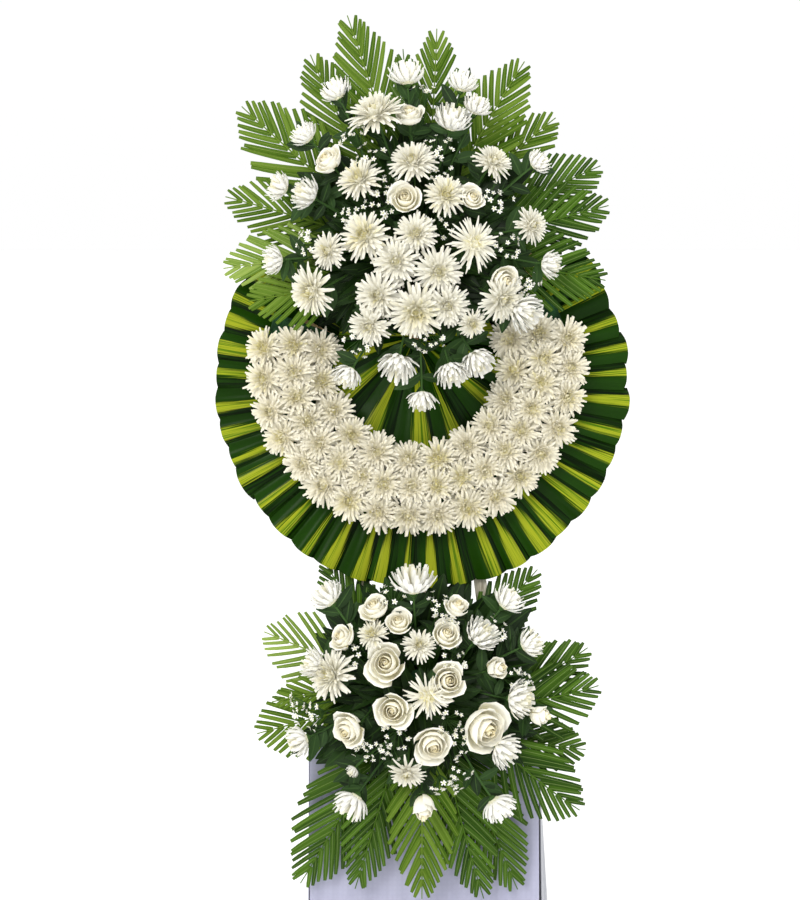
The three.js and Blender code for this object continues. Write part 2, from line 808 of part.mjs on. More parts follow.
// Fronds: name, tip, a point on the rib, half width in mm and depth forward of the board
const UPPER_FRONDS = [
  ['upper_frond_1', [248, 301], [300, 293], 58, 92],
  ['upper_frond_2', [223, 268], [290, 258], 58, 76],
  ['upper_frond_3', [225, 196], [290, 214], 56, 60],
  ['upper_frond_4', [241, 105], [310, 170], 70, 46],
  ['upper_frond_5', [310, 53], [342, 130], 60, 32],
  ['upper_frond_6', [347, 13], [380, 110], 66, 60],
  ['upper_frond_7', [437, 27], [434, 120], 54, 46],
  ['upper_frond_8', [525, 60], [483, 125], 62, 60],
  ['upper_frond_9', [556, 117], [495, 165], 60, 32],
  ['upper_frond_10', [601, 165], [535, 195], 62, 46],
  ['upper_frond_11', [609, 205], [545, 222], 60, 76],
  ['upper_frond_12', [606, 280], [540, 268], 64, 90],
  ['upper_frond_13', [403, 48], [408, 112], 34, 78],
];

const LOWER_FRONDS = [
  ['lower_frond_1', [323, 562], [358, 612], 46, 4, { fall: -9, root: [-88, 597] }],
  ['lower_frond_2', [264, 632], [332, 660], 62, 44],
  ['lower_frond_3', [257, 734], [320, 716], 64, 60],
  ['lower_frond_4', [300, 885], [345, 812], 72, 38, { root: [-66, 436.3] }],
  ['lower_frond_5', [355, 890], [376, 820], 54, 54, { root: [-40, 436.3] }],
  ['lower_frond_6', [422, 900], [422, 824], 58, 70, { root: [0, 436.3] }],
  ['lower_frond_7', [484, 900], [458, 817], 54, 54, { root: [34, 436.3] }],
  ['lower_frond_8', [518, 891], [486, 818], 62, 38, { root: [62, 436.3] }],
  ['lower_frond_9', [580, 811], [515, 768], 70, 76, { root: [115, 455] }],
  ['lower_frond_10', [599, 686], [535, 706], 64, 60],
  ['lower_frond_11', [588, 648], [528, 690], 56, 44],
  ['lower_frond_12', [538, 570], [497, 615], 46, 4, { fall: -9, root: [86, 597] }],
  ['lower_frond_13', [272, 702], [322, 690], 32, 76],
  ['lower_frond_14', [586, 750], [521, 744], 52, 44],
];

// The ring of chrysanthemum heads, in bunches side by side round the horseshoe
const RING_BUNCHES = 3;
const RING_ROWS = [
  { radius: 181, from: 66, to: 287, heads: 12, rise: 2, lean: -14 },
  { radius: 232, from: 70, to: 284, heads: 18, rise: 11, lean: 0 },
  { radius: 283, from: 74.5, to: 281, heads: 18, rise: 2, lean: 16 },
];
const RING_HEAD_RADIUS = 29;
const RING_HUB_RADIUS = 226;
const RING_HEAD_AHEAD = 16;
const RING_NECK_DEPTH = 10;
const RING_STALK_RADIUS = 2.2;
const RING_PEG = { side: 8, depth: 26, stalks: 3, collar: 4 };
const SECTOR_OVERRUN = 90;
const SECTOR_FRONT = 160;

function ringBoundary(index) {
  const share = index / RING_BUNCHES;
  const [inner, , outer] = RING_ROWS;
  const innerRay = clock(inner.from + (inner.to - inner.from) * share);
  const outerRay = clock(outer.from + (outer.to - outer.from) * share);
  const near = new THREE.Vector2(innerRay.x, innerRay.height).multiplyScalar(inner.radius);
  const far = new THREE.Vector2(outerRay.x, outerRay.height).multiplyScalar(outer.radius);
  const along = far.clone().sub(near).normalize();
  near.addScaledVector(along, -SECTOR_OVERRUN);
  far.addScaledVector(along, SECTOR_OVERRUN);
  return { near, far };
}

// The space that one ring bunch may fill, a hair inside its two boundaries
function ringSectorSolid(index) {
  const first = ringBoundary(index);
  const second = ringBoundary(index + 1);
  const corners = [first.near, first.far, second.far, second.near];
  const centre = corners.reduce((sum, c) => sum.add(c), new THREE.Vector2()).multiplyScalar(0.25);
  const inset = corners.map((corner, i) => {
    const across = i < 2 ? first : second;
    const along = across.far.clone().sub(across.near).normalize();
    const normal = new THREE.Vector2(-along.y, along.x);
    if (normal.dot(centre.clone().sub(across.near)) < 0) {
      normal.negate();
    }
    return corner.clone().addScaledVector(normal, CELL_INSET);
  });
  const shape = new THREE.Shape(inset.map((c) => new THREE.Vector2(c.x + RING_X, c.y + RING_HEIGHT)));
  return toSolid(panel(shape, RING_FOAM_DEPTH + GAP, SECTOR_FRONT));
}

function ringMiddle(index) {
  const { from, to } = RING_ROWS[1];
  const ray = clock(from + ((index + 0.5) / RING_BUNCHES) * (to - from));
  return { x: RING_X + ray.x * RING_HUB_RADIUS, height: RING_HEIGHT + ray.height * RING_HUB_RADIUS };
}

// Each ring bunch is wired to one peg: its stalks run out over the foam and turn up into the heads
function ringBunchSolid(index) {
  const middle = ringMiddle(index);
  const hub = point(middle.x, RING_FOAM_DEPTH + RING_PEG.stalks, middle.height);
  const solids = [];
  for (const row of RING_ROWS) {
    const perBunch = row.heads / RING_BUNCHES;
    for (let i = 0; i < perBunch; i += 1) {
      const step = (row.to - row.from) / row.heads;
      const ray = clock(row.from + (index * perBunch + i + 0.5) * step + between(-0.6, 0.6));
      const forward = RING_FOAM_DEPTH + RING_HEAD_AHEAD + row.rise + between(-1.5, 2);
      const distance = row.radius + between(-2, 2);
      const centre = point(RING_X + ray.x * distance, forward, RING_HEIGHT + ray.height * distance);
      const lean = THREE.MathUtils.degToRad(row.lean + between(-5, 5));
      const facing = new THREE.Vector3(ray.x, 0, ray.height).multiplyScalar(Math.sin(lean));
      facing.addScaledVector(FORWARD, Math.cos(lean)).normalize();
      const radius = RING_HEAD_RADIUS * between(0.97, 1.06);
      const foot = hub.clone().lerp(centre, 0.05).setY(hub.y);
      const options = { path: [foot], stalk: RING_STALK_RADIUS, baseDepth: -RING_NECK_DEPTH };
      const spin = between(0, 1);
      solids.push(toSolid(bloomGeometry(OPEN_MUM, centre, facing, radius, spin, options)));
    }
  }
  const pegBack = RING_FOAM_DEPTH - RING_PEG.depth;
  const pegFront = RING_FOAM_DEPTH + RING_PEG.collar;
  const peg = pegSolid(middle.x, middle.height, RING_PEG.side, pegBack, pegFront);
  return largest(join(solids).intersect(ringSectorSolid(index)).add(peg));
}

// How far along a ray from one centre a circle about another centre lies
function rayToCircle(fromX, fromHeight, ray, radius) {
  const dx = fromX - RING_X;
  const dh = fromHeight - RING_HEIGHT;
  const along = dx * ray.x + dh * ray.height;
  return -along + Math.sqrt(along * along - dx * dx - dh * dh + radius * radius);
}

// Clear angle at each end of a run of leaves, in degrees
const END_SLIT = 0.06;

// Folded striped leaves side by side, each a raised middle stripe between two sloping halves
function pleatedLeaves({ centreX, centreHeight, start, pitch, count, inner, outer, rise }) {
  const rows = [0, 1];
  const columns = count * 3;
  const front = rows.map(() => []);
  for (let column = 0; column <= columns; column += 1) {
    const angle = start + (column * pitch) / 3;
    const ray = clock(THREE.MathUtils.clamp(angle, start + END_SLIT, start + count * pitch - END_SLIT));
    const isCrest = column % 3 !== 0;
    const near = inner(ray);
    const far = outer(ray, isCrest) + between(-3, 3);
    const wobble = between(0.85, 1.15);
    rows.forEach((share, row) => {
      const distance = near + (far - near) * share;
      const forward = GAP + COLLAR_LEAF_THICKNESS + (isCrest ? rise(share) * wobble : 0);
      front[row].push(point(centreX + ray.x * distance, forward, centreHeight + ray.height * distance));
    });
  }
  const behind = front.map((row) => row.map((p) => p.clone().setY(p.y + COLLAR_LEAF_THICKNESS)));
  return sheetGeometry(front, behind);
}

function collarGeometry(index) {
  const perPiece = COLLAR_LEAVES / COLLAR_PIECES;
  return pleatedLeaves({
    centreX: DISC_X,
    centreHeight: DISC_HEIGHT,
    start: COLLAR_START + index * perPiece * COLLAR_PITCH,
    pitch: COLLAR_PITCH,
    count: perPiece,
    inner: (ray) => rayToCircle(DISC_X, DISC_HEIGHT, ray, COLLAR_INNER_RADIUS),
    outer: (ray, isCrest) => (isCrest ? COLLAR_CREST_RADIUS : COLLAR_VALLEY_RADIUS),
    rise: (share) => THREE.MathUtils.lerp(6, 13, share),
  });
}

const FAN_X = -13;
const FAN_HEIGHT = 1184;
const FAN_LEAVES = 15;
const FAN_INNER_RADIUS = 14;
const FAN_CLEAR_OF_RING = 8;
const FAN_CLEAR_OF_FOAM = 5;

// The leaves that close the middle of the ring fan out from a point a little above its centre
function centreLeavesGeometry() {
  return pleatedLeaves({
    centreX: FAN_X,
    centreHeight: FAN_HEIGHT,
    start: 0,
    pitch: 360 / FAN_LEAVES,
    count: FAN_LEAVES,
    inner: () => FAN_INNER_RADIUS,
    outer: (ray) => {
      const toRing = rayToCircle(FAN_X, FAN_HEIGHT, ray, RING_INNER - FAN_CLEAR_OF_RING);
      const room = UPPER_FOAM.bottom - FAN_CLEAR_OF_FOAM - FAN_HEIGHT;
      const toSpray = ray.height > 0 ? room / ray.height : Infinity;
      return Math.min(toRing, toSpray);
    },
    rise: (share) => THREE.MathUtils.lerp(1.5, 10.5, share),
  });
}

const RING_ARC = { from: 63, to: 290, steps: 18 };

// The horseshoe of foam, with a plain hole for each bunch's peg
function ringFoamSolid() {
  const arc = (radius) => {
    const corners = [];
    for (let i = 0; i <= RING_ARC.steps; i += 1) {
      const ray = clock(THREE.MathUtils.lerp(RING_ARC.from, RING_ARC.to, i / RING_ARC.steps));
      corners.push(new THREE.Vector2(RING_X + ray.x * radius, RING_HEIGHT + ray.height * radius));
    }
    return corners;
  };
  const outline = new THREE.Shape([...arc(RING_OUTER), ...arc(RING_INNER).reverse()]);
  const holeSide = RING_PEG.side + 2 * GAP;
  const holeBack = RING_FOAM_DEPTH - RING_PEG.depth - GAP;
  const holeFront = RING_FOAM_DEPTH + RING_PEG.collar;
  let foam = toSolid(panel(outline, GAP, RING_FOAM_DEPTH));
  for (let index = 0; index < RING_BUNCHES; index += 1) {
    const { x, height } = ringMiddle(index);
    foam = foam.subtract(pegSolid(x, height, holeSide, holeBack, holeFront));
  }
  return foam;
}

const BOARD_SIDES = 40;

function boardGeometry() {
  const disc = new THREE.CylinderGeometry(BOARD_RADIUS, BOARD_RADIUS, BOARD_THICKNESS, BOARD_SIDES);
  disc.translate(DISC_X, BOARD_THICKNESS / 2, DISC_HEIGHT);
  return disc;
}

// Where the leaning plane at a given distance forward of the board meets a level height
function backAt(level, forward) {
  return level * Math.tan(LEAN) - forward / Math.cos(LEAN);
}

// A straight square leg with level ends, from its foot to its top
function legGeometry(foot, top, halfX, halfY) {
  const leg = new THREE.BoxGeometry(2 * halfX, 2 * halfY, 1);
  const positions = leg.attributes.position;
  for (let i = 0; i < positions.count; i += 1) {
    const share = positions.getZ(i) + 0.5;
    const axis = foot.clone().lerp(top, share);
    positions.setXYZ(i, axis.x + positions.getX(i), axis.y + positions.getY(i), axis.z);
  }
  return leg;
}

function frontLegGeometry(side) {
  const middle = LEG_FRONT - LEG_SIDE / 2;
  const level = LEG_TOP_HEIGHT * Math.cos(LEAN) + middle * Math.sin(LEAN);
  const foot = new THREE.Vector3(side * LEG_FOOT_X, backAt(0, middle), 0);
  const top = new THREE.Vector3(side * LEG_TOP_X, backAt(level, middle), level);
  return legGeometry(foot, top, LEG_SIDE / 2, LEG_SIDE / 2 / Math.cos(LEAN));
}

const HEAD_BLOCK_BACK = LEG_FRONT - LEG_SIDE - GAP - HEAD_BLOCK.depth;
const REAR_LEG_TOP = 1425;
const REAR_LEG_CLEAR = 1.2;

// The middle line of the rear leg, from its foot up to the back of the head block
function rearLegAxis() {
  const topY = backAt(REAR_LEG_TOP, HEAD_BLOCK_BACK) + LEG_SIDE / 2 + REAR_LEG_CLEAR;
  const top = new THREE.Vector3(0, topY, REAR_LEG_TOP);
  return { foot: new THREE.Vector3(0, REAR_FOOT_BACK, 0), top };
}

function rearLegGeometry() {
  const { foot, top } = rearLegAxis();
  return legGeometry(foot, top, LEG_SIDE / 2, LEG_SIDE / 2);
}

// The cloth skirt: a front panel and two side panels closing back to the rear leg
const SKIRT_THICKNESS = 2;
const SKIRT_HEM = 8;
const SKIRT_CORNER = 44;
const SKIRT_TOP_FORWARD = RAIL.front + GAP;
const SKIRT_LEVELS = [
  RAIL.top * Math.cos(LEAN),
  (RAIL.bottom - 4) * Math.cos(LEAN),
  289,
  150,
  SKIRT_HEM,
];
const SKIRT_FOLDS = 10;
const FOLD_GROWTH = 1.2;
const SIDE_FLARE = { left: 1.5, right: 5 };
const SIDE_BULGE = 2;

// Back face of the front panel: over the rail, hanging straight, then lying down the legs
function skirtFrontBack(level) {
  const onLegs = backAt(level, LEG_FRONT + GAP);
  const onRail = backAt(level, SKIRT_TOP_FORWARD);
  const hanging = backAt(SKIRT_LEVELS[1], SKIRT_TOP_FORWARD);
  return level >= SKIRT_LEVELS[1] ? onRail : Math.min(hanging, onLegs);
}

function skirtFrontGeometry() {
  const back = SKIRT_LEVELS.map((level, row) => {
    const line = [];
    for (let i = 0; i <= SKIRT_FOLDS; i += 1) {
      const x = THREE.MathUtils.lerp(RAIL.left, RAIL.right, i / SKIRT_FOLDS);
      const wave = i % 2 === 1 ? FOLD_GROWTH * row : 0;
      line.push(new THREE.Vector3(x, skirtFrontBack(level) - wave, level));
    }
    return line;
  });
  const front = back.map((line) => line.map((p) => p.clone().setY(p.y - SKIRT_THICKNESS)));
  return sheetGeometry(front, back);
}

function skirtSideGeometry(side) {
  const { foot, top } = rearLegAxis();
  const edge = side < 0 ? RAIL.left : RAIL.right;
  const inner = SKIRT_LEVELS.map((level, row) => {
    const share = level / top.z;
    const rearY = foot.y + (top.y - foot.y) * share;
    const frontY = skirtFrontBack(level) + GAP;
    const flare = row * (side > 0 ? SIDE_FLARE.right : SIDE_FLARE.left);
    const legFace = side * (LEG_SIDE / 2 + GAP);
    const start = new THREE.Vector3(edge + side * (0.5 + 0.3 * flare), frontY, level);
    const corner = start.clone().add(new THREE.Vector3(side * flare, SKIRT_CORNER, 0));
    const end = new THREE.Vector3(legFace, rearY - LEG_SIDE / 2, level);
    const points = [start, corner];
    for (const along of [0.33, 0.66]) {
      const bulge = flare * (1 - along) + SIDE_BULGE * row;
      points.push(corner.clone().lerp(end, along).add(new THREE.Vector3(side * bulge, 0, 0)));
    }
    points.push(end, new THREE.Vector3(legFace, rearY + LEG_SIDE / 2 - 2, level));
    return points;
  });
  const outer = inner.map((line) => line.map((p, i) => {
    const away = i < line.length - 2 ? SKIRT_THICKNESS * 1.5 : SKIRT_THICKNESS;
    return p.clone().setX(p.x + side * away);
  }));
  return sheetGeometry(outer, inner);
}

// Assembly: the leaning group carries everything fixed to the board, the stand is set out level
const wreath = new THREE.Group();
const leaning = new THREE.Group();
leaning.rotation.x = -LEAN;
wreath.add(leaning);

// Every piece is one named mesh with a plain, matt or slightly glossy material of its own
function addPiece(group, name, geometry, color, roughness) {
  const material = new THREE.MeshStandardMaterial({ color, roughness, metalness: 0, flatShading: true });
  const mesh = new THREE.Mesh(geometry, material);
  mesh.name = name;
  group.add(mesh);
  return mesh;
}

addPiece(wreath, 'easel_leg_left', frontLegGeometry(-1), TIMBER, 0.75);
addPiece(wreath, 'easel_leg_right', frontLegGeometry(1), TIMBER, 0.75);
addPiece(wreath, 'easel_leg_rear', rearLegGeometry(), TIMBER, 0.75);
addPiece(leaning, 'easel_head_block', block({
  left: -HEAD_BLOCK.width / 2,
  right: HEAD_BLOCK.width / 2,
  bottom: HEAD_BLOCK.bottom,
  top: HEAD_BLOCK.top,
  back: HEAD_BLOCK_BACK,
  front: HEAD_BLOCK_BACK + HEAD_BLOCK.depth,
}), TIMBER, 0.75);
addPiece(leaning, 'skirt_rail', block(RAIL), TIMBER, 0.75);
addPiece(leaning, 'foam_shelf', block(SHELF), PLYWOOD, 0.7);
addPiece(wreath, 'skirt_front', skirtFrontGeometry(), SKIRT_LAVENDER, 0.85);
addPiece(wreath, 'skirt_left', skirtSideGeometry(-1), SKIRT_LAVENDER, 0.85);
addPiece(wreath, 'skirt_right', skirtSideGeometry(1), SKIRT_GREY, 0.85);
addPiece(leaning, 'backing_board', boardGeometry(), PLYWOOD, 0.7);
addPiece(leaning, 'ring_foam', toGeometry(ringFoamSolid()), FOAM_GREEN, 0.95);
addPiece(leaning, 'centre_leaves', centreLeavesGeometry(), STRIPED_GREEN, 0.35);

for (let index = 0; index < COLLAR_PIECES; index += 1) {
  addPiece(leaning, `collar_leaves_${index + 1}`, collarGeometry(index), STRIPED_GREEN, 0.35);
}

for (let index = 0; index < RING_BUNCHES; index += 1) {
  addPiece(leaning, `ring_mums_${index + 1}`, toGeometry(ringBunchSolid(index)), WHITE_PETAL, 0.8);
}

// A spray's fronds and bunches, then its foam with a hole for each of their stalks
function addSpray(spray, foamName, bunches, fronds) {
  let foam = toSolid(block(spray.foam));
  for (const data of fronds) {
    const frond = new Frond(spray, data);
    foam = foam.subtract(frond.hole());
    addPiece(leaning, frond.name, toGeometry(frond.solid()), FROND_GREEN, 0.55);
  }
  for (const data of bunches) {
    const bunch = new Bunch(spray, data);
    foam = foam.subtract(bunch.hole());
    const roses = data.blooms.filter(([letter]) => letter !== 'M').length;
    const petal = roses > data.blooms.length / 2 ? CREAM_PETAL : WHITE_PETAL;
    addPiece(leaning, bunch.name, toGeometry(bunch.solid()), petal, 0.8);
  }
  addPiece(leaning, foamName, toGeometry(foam), FOAM_GREEN, 0.95);
}

addSpray(UPPER_SPRAY, 'upper_foam', UPPER_BUNCHES, UPPER_FRONDS);
addSpray(LOWER_SPRAY, 'lower_foam', LOWER_BUNCHES, LOWER_FRONDS);

// The origin is on the floor under the middle of the whole wreath
wreath.updateMatrixWorld(true);
const extent = new THREE.Box3().setFromObject(wreath, true);
wreath.position.set(-(extent.min.x + extent.max.x) / 2, -(extent.min.y + extent.max.y) / 2, -extent.min.z);

export default wreath;
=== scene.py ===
"""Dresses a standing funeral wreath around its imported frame.

A round board leans on a timber easel with a cloth skirt. It carries a collar of folded striped
leaves, a horseshoe of white chrysanthemum heads and a large spray; a second spray stands below.
Shapes are worked out in millimetres in the board's own leaning axes (across, back, up).
"""

from __future__ import annotations

import logging
import math
from collections.abc import Callable
from dataclasses import dataclass, field
from enum import Enum
from functools import lru_cache
from typing import Any

import bpy
import numpy as np
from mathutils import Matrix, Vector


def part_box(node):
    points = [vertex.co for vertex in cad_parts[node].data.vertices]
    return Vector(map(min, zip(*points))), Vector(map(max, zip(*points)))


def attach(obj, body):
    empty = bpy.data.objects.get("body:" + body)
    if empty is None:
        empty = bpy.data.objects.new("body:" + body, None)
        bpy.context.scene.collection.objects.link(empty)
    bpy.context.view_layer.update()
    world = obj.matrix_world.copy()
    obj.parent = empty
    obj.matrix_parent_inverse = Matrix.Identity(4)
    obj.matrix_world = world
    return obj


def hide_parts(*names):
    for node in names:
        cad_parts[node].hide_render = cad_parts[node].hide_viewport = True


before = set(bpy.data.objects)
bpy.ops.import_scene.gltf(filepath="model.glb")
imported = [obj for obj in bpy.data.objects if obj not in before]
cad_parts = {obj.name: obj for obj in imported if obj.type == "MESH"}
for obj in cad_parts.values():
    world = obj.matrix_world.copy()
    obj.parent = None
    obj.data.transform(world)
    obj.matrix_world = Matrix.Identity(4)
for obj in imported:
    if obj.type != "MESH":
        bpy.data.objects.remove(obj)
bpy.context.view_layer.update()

LOG = logging.getLogger("funeral_wreath")
MM = 0.001
Array = np.ndarray

# The photograph's scale and viewpoint: columns and rows turn into places on the board, in mm
MM_PER_PIXEL = 1.9
VIEW_DISTANCE = 3200.0
VIEW_COLUMN = 400.0
VIEW_ROW = 450.0
VIEW_X = -41.8
VIEW_HEIGHT = 969.0
PHOTO_ROWS = 900

NOTES = "lie"
FORWARD = np.array([0.0, -1.0, 0.0])
GOLDEN_ANGLE = math.radians(137.508)
SHARP_EDGE = math.radians(62)
ANY_TURN = (0.0, 6.28)

# The middles of the board's disc and of the ring, in mm on the board
DISC_MIDDLE = np.array([0.0, 0.0, 1096.0])
RING_MIDDLE = np.array([-9.5, 0.0, 1130.0])

# A chrysanthemum tilted past this stands as a cup, turned further outwards, in radians
CUP_TILT = 0.75
CUP_LEAN = 0.3


def linear(hex_colour: str) -> tuple[float, float, float, float]:
    """Turn an sRGB colour into the linear values that a shader takes.

    Args:
        hex_colour: The colour as "#rrggbb".

    Returns:
        Linear red, green and blue, with a full alpha.
    """
    channels = []
    for start in (1, 3, 5):
        value = int(hex_colour[start:start + 2], 16) / 255
        channels.append(value / 12.92 if value <= 0.04045 else ((value + 0.055) / 1.055) ** 2.4)
    return (*channels, 1.0)


def unit(vectors: Array) -> Array:
    """Return the vectors at a length of one."""
    return vectors / np.maximum(np.linalg.norm(vectors, axis=-1, keepdims=True), 1e-9)


def smooth(low: float, high: float, values: Array) -> Array:
    """Return a soft step from 0 at low to 1 at high."""
    share = np.clip((values - low) / (high - low), 0, 1)
    return share * share * (3 - 2 * share)


def clock(degrees: float | Array) -> Array:
    """Return the direction at a clock angle on the board, clockwise from straight up."""
    angle = np.radians(degrees)
    return np.stack([np.sin(angle), np.zeros_like(angle), np.cos(angle)], axis=-1)


def place(column: float, row: float, forward: float) -> Array:
    """Find the point that the photograph shows at a pixel.

    Args:
        column: Pixel column.
        row: Pixel row.
        forward: Depth of the point forward of the board, in mm.

    Returns:
        The point in the board's axes, in mm.
    """
    scale = MM_PER_PIXEL * (VIEW_DISTANCE - forward) / VIEW_DISTANCE
    return np.array([
        VIEW_X + (column - VIEW_COLUMN) * scale,
        -forward,
        VIEW_HEIGHT + (VIEW_ROW - row) * scale,
    ])


def turned(facing: Array, spin: float = 0.0) -> Array:
    """Build the rotation that stands a flower's own axis along a direction.

    Args:
        facing: Direction that the flower looks in.
        spin: Turn about that direction, in radians.

    Returns:
        A 3 x 3 matrix whose columns are the flower's axes.
    """
    up = unit(facing)
    helper = np.array([1.0, 0, 0]) if abs(up[0]) < 0.8 else np.array([0, 0, 1.0])
    first = unit(np.cross(helper, up))
    second = np.cross(up, first)
    turn = math.cos(spin) * first + math.sin(spin) * second
    return np.stack([turn, np.cross(up, turn), up], axis=1)


def bezier(points: list[Array], shares: Array) -> Array:
    """Return points along the Bezier curve of three control points at the given shares."""
    t = np.asarray(shares, float)[:, None]
    return (1 - t) ** 2 * points[0] + 2 * t * (1 - t) * points[1] + t ** 2 * points[2]


# Finishes


class Shader:
    """A node tree of a material or of the sky, with one way to add a node."""

    def __init__(self, owner: bpy.types.Material | bpy.types.World) -> None:
        """Start with an empty node tree on the given material or world.

        Args:
            owner: The material or sky that is made.
        """
        owner.use_nodes = True
        self.tree = owner.node_tree
        self.tree.nodes.clear()

    def add(self, kind: str, inputs: dict[str | int, Any] | None = None, **settings: Any) -> bpy.types.Node:
        """Add one node.

        Args:
            kind: Blender's name of the node type.
            inputs: Socket name or number, and its value or the socket that feeds it.
            settings: The node's own properties.

        Returns:
            The new node.
        """
        node = self.tree.nodes.new(kind)
        for name, value in settings.items():
            setattr(node, name, value)
        for socket, value in (inputs or {}).items():
            if isinstance(value, bpy.types.NodeSocket):
                self.tree.links.new(value, node.inputs[socket])
            else:
                node.inputs[socket].default_value = value
        return node

    def notes(self) -> tuple[Any, Any, Any]:
        """Return what the mesh notes at each corner: across (-1 to 1), along (0 to 1) and tone.

        Returns:
            Their three sockets.
        """
        attribute = self.add("ShaderNodeAttribute", attribute_name=NOTES)
        parts = self.add("ShaderNodeSeparateXYZ", {0: attribute.outputs["Vector"]})
        return parts.outputs[0], parts.outputs[1], parts.outputs[2]

    def streaks(self, across: float, along: float, detail: float = 3.0) -> Any:
        """Return noise drawn out along a leaf or petal, with its own pattern on each one.

        Args:
            across: How many changes fit across the half width.
            along: How many changes fit along the length.
            detail: Levels of finer noise.

        Returns:
            The noise socket, from 0 to 1.
        """
        x, y, tone = self.notes()
        scaled_x = self.add("ShaderNodeMath", {0: x, 1: across}, operation="MULTIPLY")
        scaled_y = self.add("ShaderNodeMath", {0: y, 1: along}, operation="MULTIPLY")
        apart = self.add("ShaderNodeMath", {0: tone, 1: 57.0}, operation="MULTIPLY")
        where = self.add("ShaderNodeCombineXYZ", {
            0: scaled_x.outputs[0], 1: scaled_y.outputs[0], 2: apart.outputs[0]})
        noise = self.add("ShaderNodeTexNoise", {
            "Vector": where.outputs[0], "Scale": 1.0, "Detail": detail})
        return noise.outputs[0]

    def mix(self, factor: Any, first: Any, second: Any) -> Any:
        """Return the colour between two colours at a factor."""
        node = self.add("ShaderNodeMix", {0: factor, 6: first, 7: second}, data_type="RGBA")
        return node.outputs[2]

    def ramp(self, value: Any, low: float, high: float, start: float = 0.0, end: float = 1.0) -> Any:
        """Return a soft step of a value between two limits.

        Args:
            value: Socket of the value.
            low: Where the step starts.
            high: Where the step ends.
            start: Result below the step.
            end: Result above the step.

        Returns:
            The result's socket.
        """
        node = self.add("ShaderNodeMapRange", {
            "Value": value, "From Min": low, "From Max": high, "To Min": start, "To Max": end,
        }, interpolation_type="SMOOTHSTEP")
        return node.outputs[0]


@dataclass(frozen=True)
class Finish:
    """What every finish has: its name, index of refraction, gloss and metalness."""

    name: str
    roughness: float
    ior: float = 1.45
    metallic: float = 0.0

    def colour(self, shader: Shader) -> Any:
        """Return the colour socket of the finish."""
        raise NotImplementedError

    def relief(self, shader: Shader) -> Any:
        """Return the normal socket of the finish's fine relief, or None."""
        return None

    def constants(self) -> dict[str, Any]:
        """Return further fixed values of the shader's own sockets."""
        return {}

    def build(self) -> bpy.types.Material:
        """Build the material.

        Returns:
            The node material of this finish.
        """
        material = bpy.data.materials.new(self.name)
        shader = Shader(material)
        surface = {
            "Base Color": self.colour(shader),
            "Roughness": self.roughness,
            "IOR": self.ior,
            "Metallic": self.metallic,
            **self.constants(),
        }
        normal = self.relief(shader)
        if normal is not None:
            surface["Normal"] = normal
        bsdf = shader.add("ShaderNodeBsdfPrincipled", surface)
        shader.add("ShaderNodeOutputMaterial", {"Surface": bsdf.outputs[0]})
        return material


@dataclass(frozen=True)
class ChrysanthemumPetal(Finish):
    """Fresh ray florets: waxy white straps, matt and a little see-through, creamier at the root."""

    root: str = "#d9d48c"
    blade: str = "#f1efe3"
    shaded: str = "#dfdbca"
    heart: str = "#dfd7a4"

    def colour(self, shader: Shader) -> Any:
        """Return cream roots that pass into white blades with faint veins; the heart stays cream.

        Args:
            shader: Node tree to add to.

        Returns:
            The colour's socket.
        """
        _, along, tone = shader.notes()
        veins = shader.ramp(shader.streaks(7.0, 1.5), 0.35, 0.7)
        blade = shader.mix(veins, linear(self.blade), linear(self.shaded))
        toned = shader.mix(shader.ramp(tone, 0.35, 1.0), blade, linear(self.heart))
        return shader.mix(shader.ramp(along, 0.0, 0.42), linear(self.root), toned)

    def constants(self) -> dict[str, Any]:
        """Return the light that soaks a little way into a petal."""
        return {"Subsurface Weight": 0.2, "Subsurface Scale": 0.001, "Subsurface Radius": (1, 0.95, 0.8),
                "Specular IOR Level": 0.2}


@dataclass(frozen=True)
class RosePetal(Finish):
    """Velvety rose petals: fine bloom on the skin, ivory outside, cream and warmer in the heart."""

    heart: str = "#faefc9"
    outer: str = "#fefcf1"
    foot: str = "#efe7b4"

    def colour(self, shader: Shader) -> Any:
        """Return cream at the heart and foot, ivory towards the outer rims.

        Args:
            shader: Node tree to add to.

        Returns:
            The colour's socket.
        """
        _, along, tone = shader.notes()
        opened = shader.mix(shader.ramp(tone, 0.0, 0.75), linear(self.heart), linear(self.outer))
        veins = shader.ramp(shader.streaks(5.0, 2.0), 0.3, 0.75, 0.0, 0.2)
        veined = shader.mix(veins, opened, linear(self.heart))
        return shader.mix(shader.ramp(along, 0.1, 0.7, 0.6, 0.0), veined, linear(self.foot))

    def constants(self) -> dict[str, Any]:
        """Return the light in the petal and the soft bloom on its skin."""
        return {"Subsurface Weight": 0.2, "Subsurface Scale": 0.001, "Subsurface Radius": (1, 0.95, 0.8),
                "Sheen Weight": 0.1, "Specular IOR Level": 0.2}


@dataclass(frozen=True)
class DiscFloret(Finish):
    """Packed disc florets: tiny matt yellow-green tubes in the heart of a flower."""

    low: str = "#bcbd66"
    high: str = "#ebe6a4"

    def colour(self, shader: Shader) -> Any:
        """Return green-yellow tubes with paler tips."""
        _, along, _ = shader.notes()
        return shader.mix(shader.ramp(along, 0.1, 0.9), linear(self.low), linear(self.high))


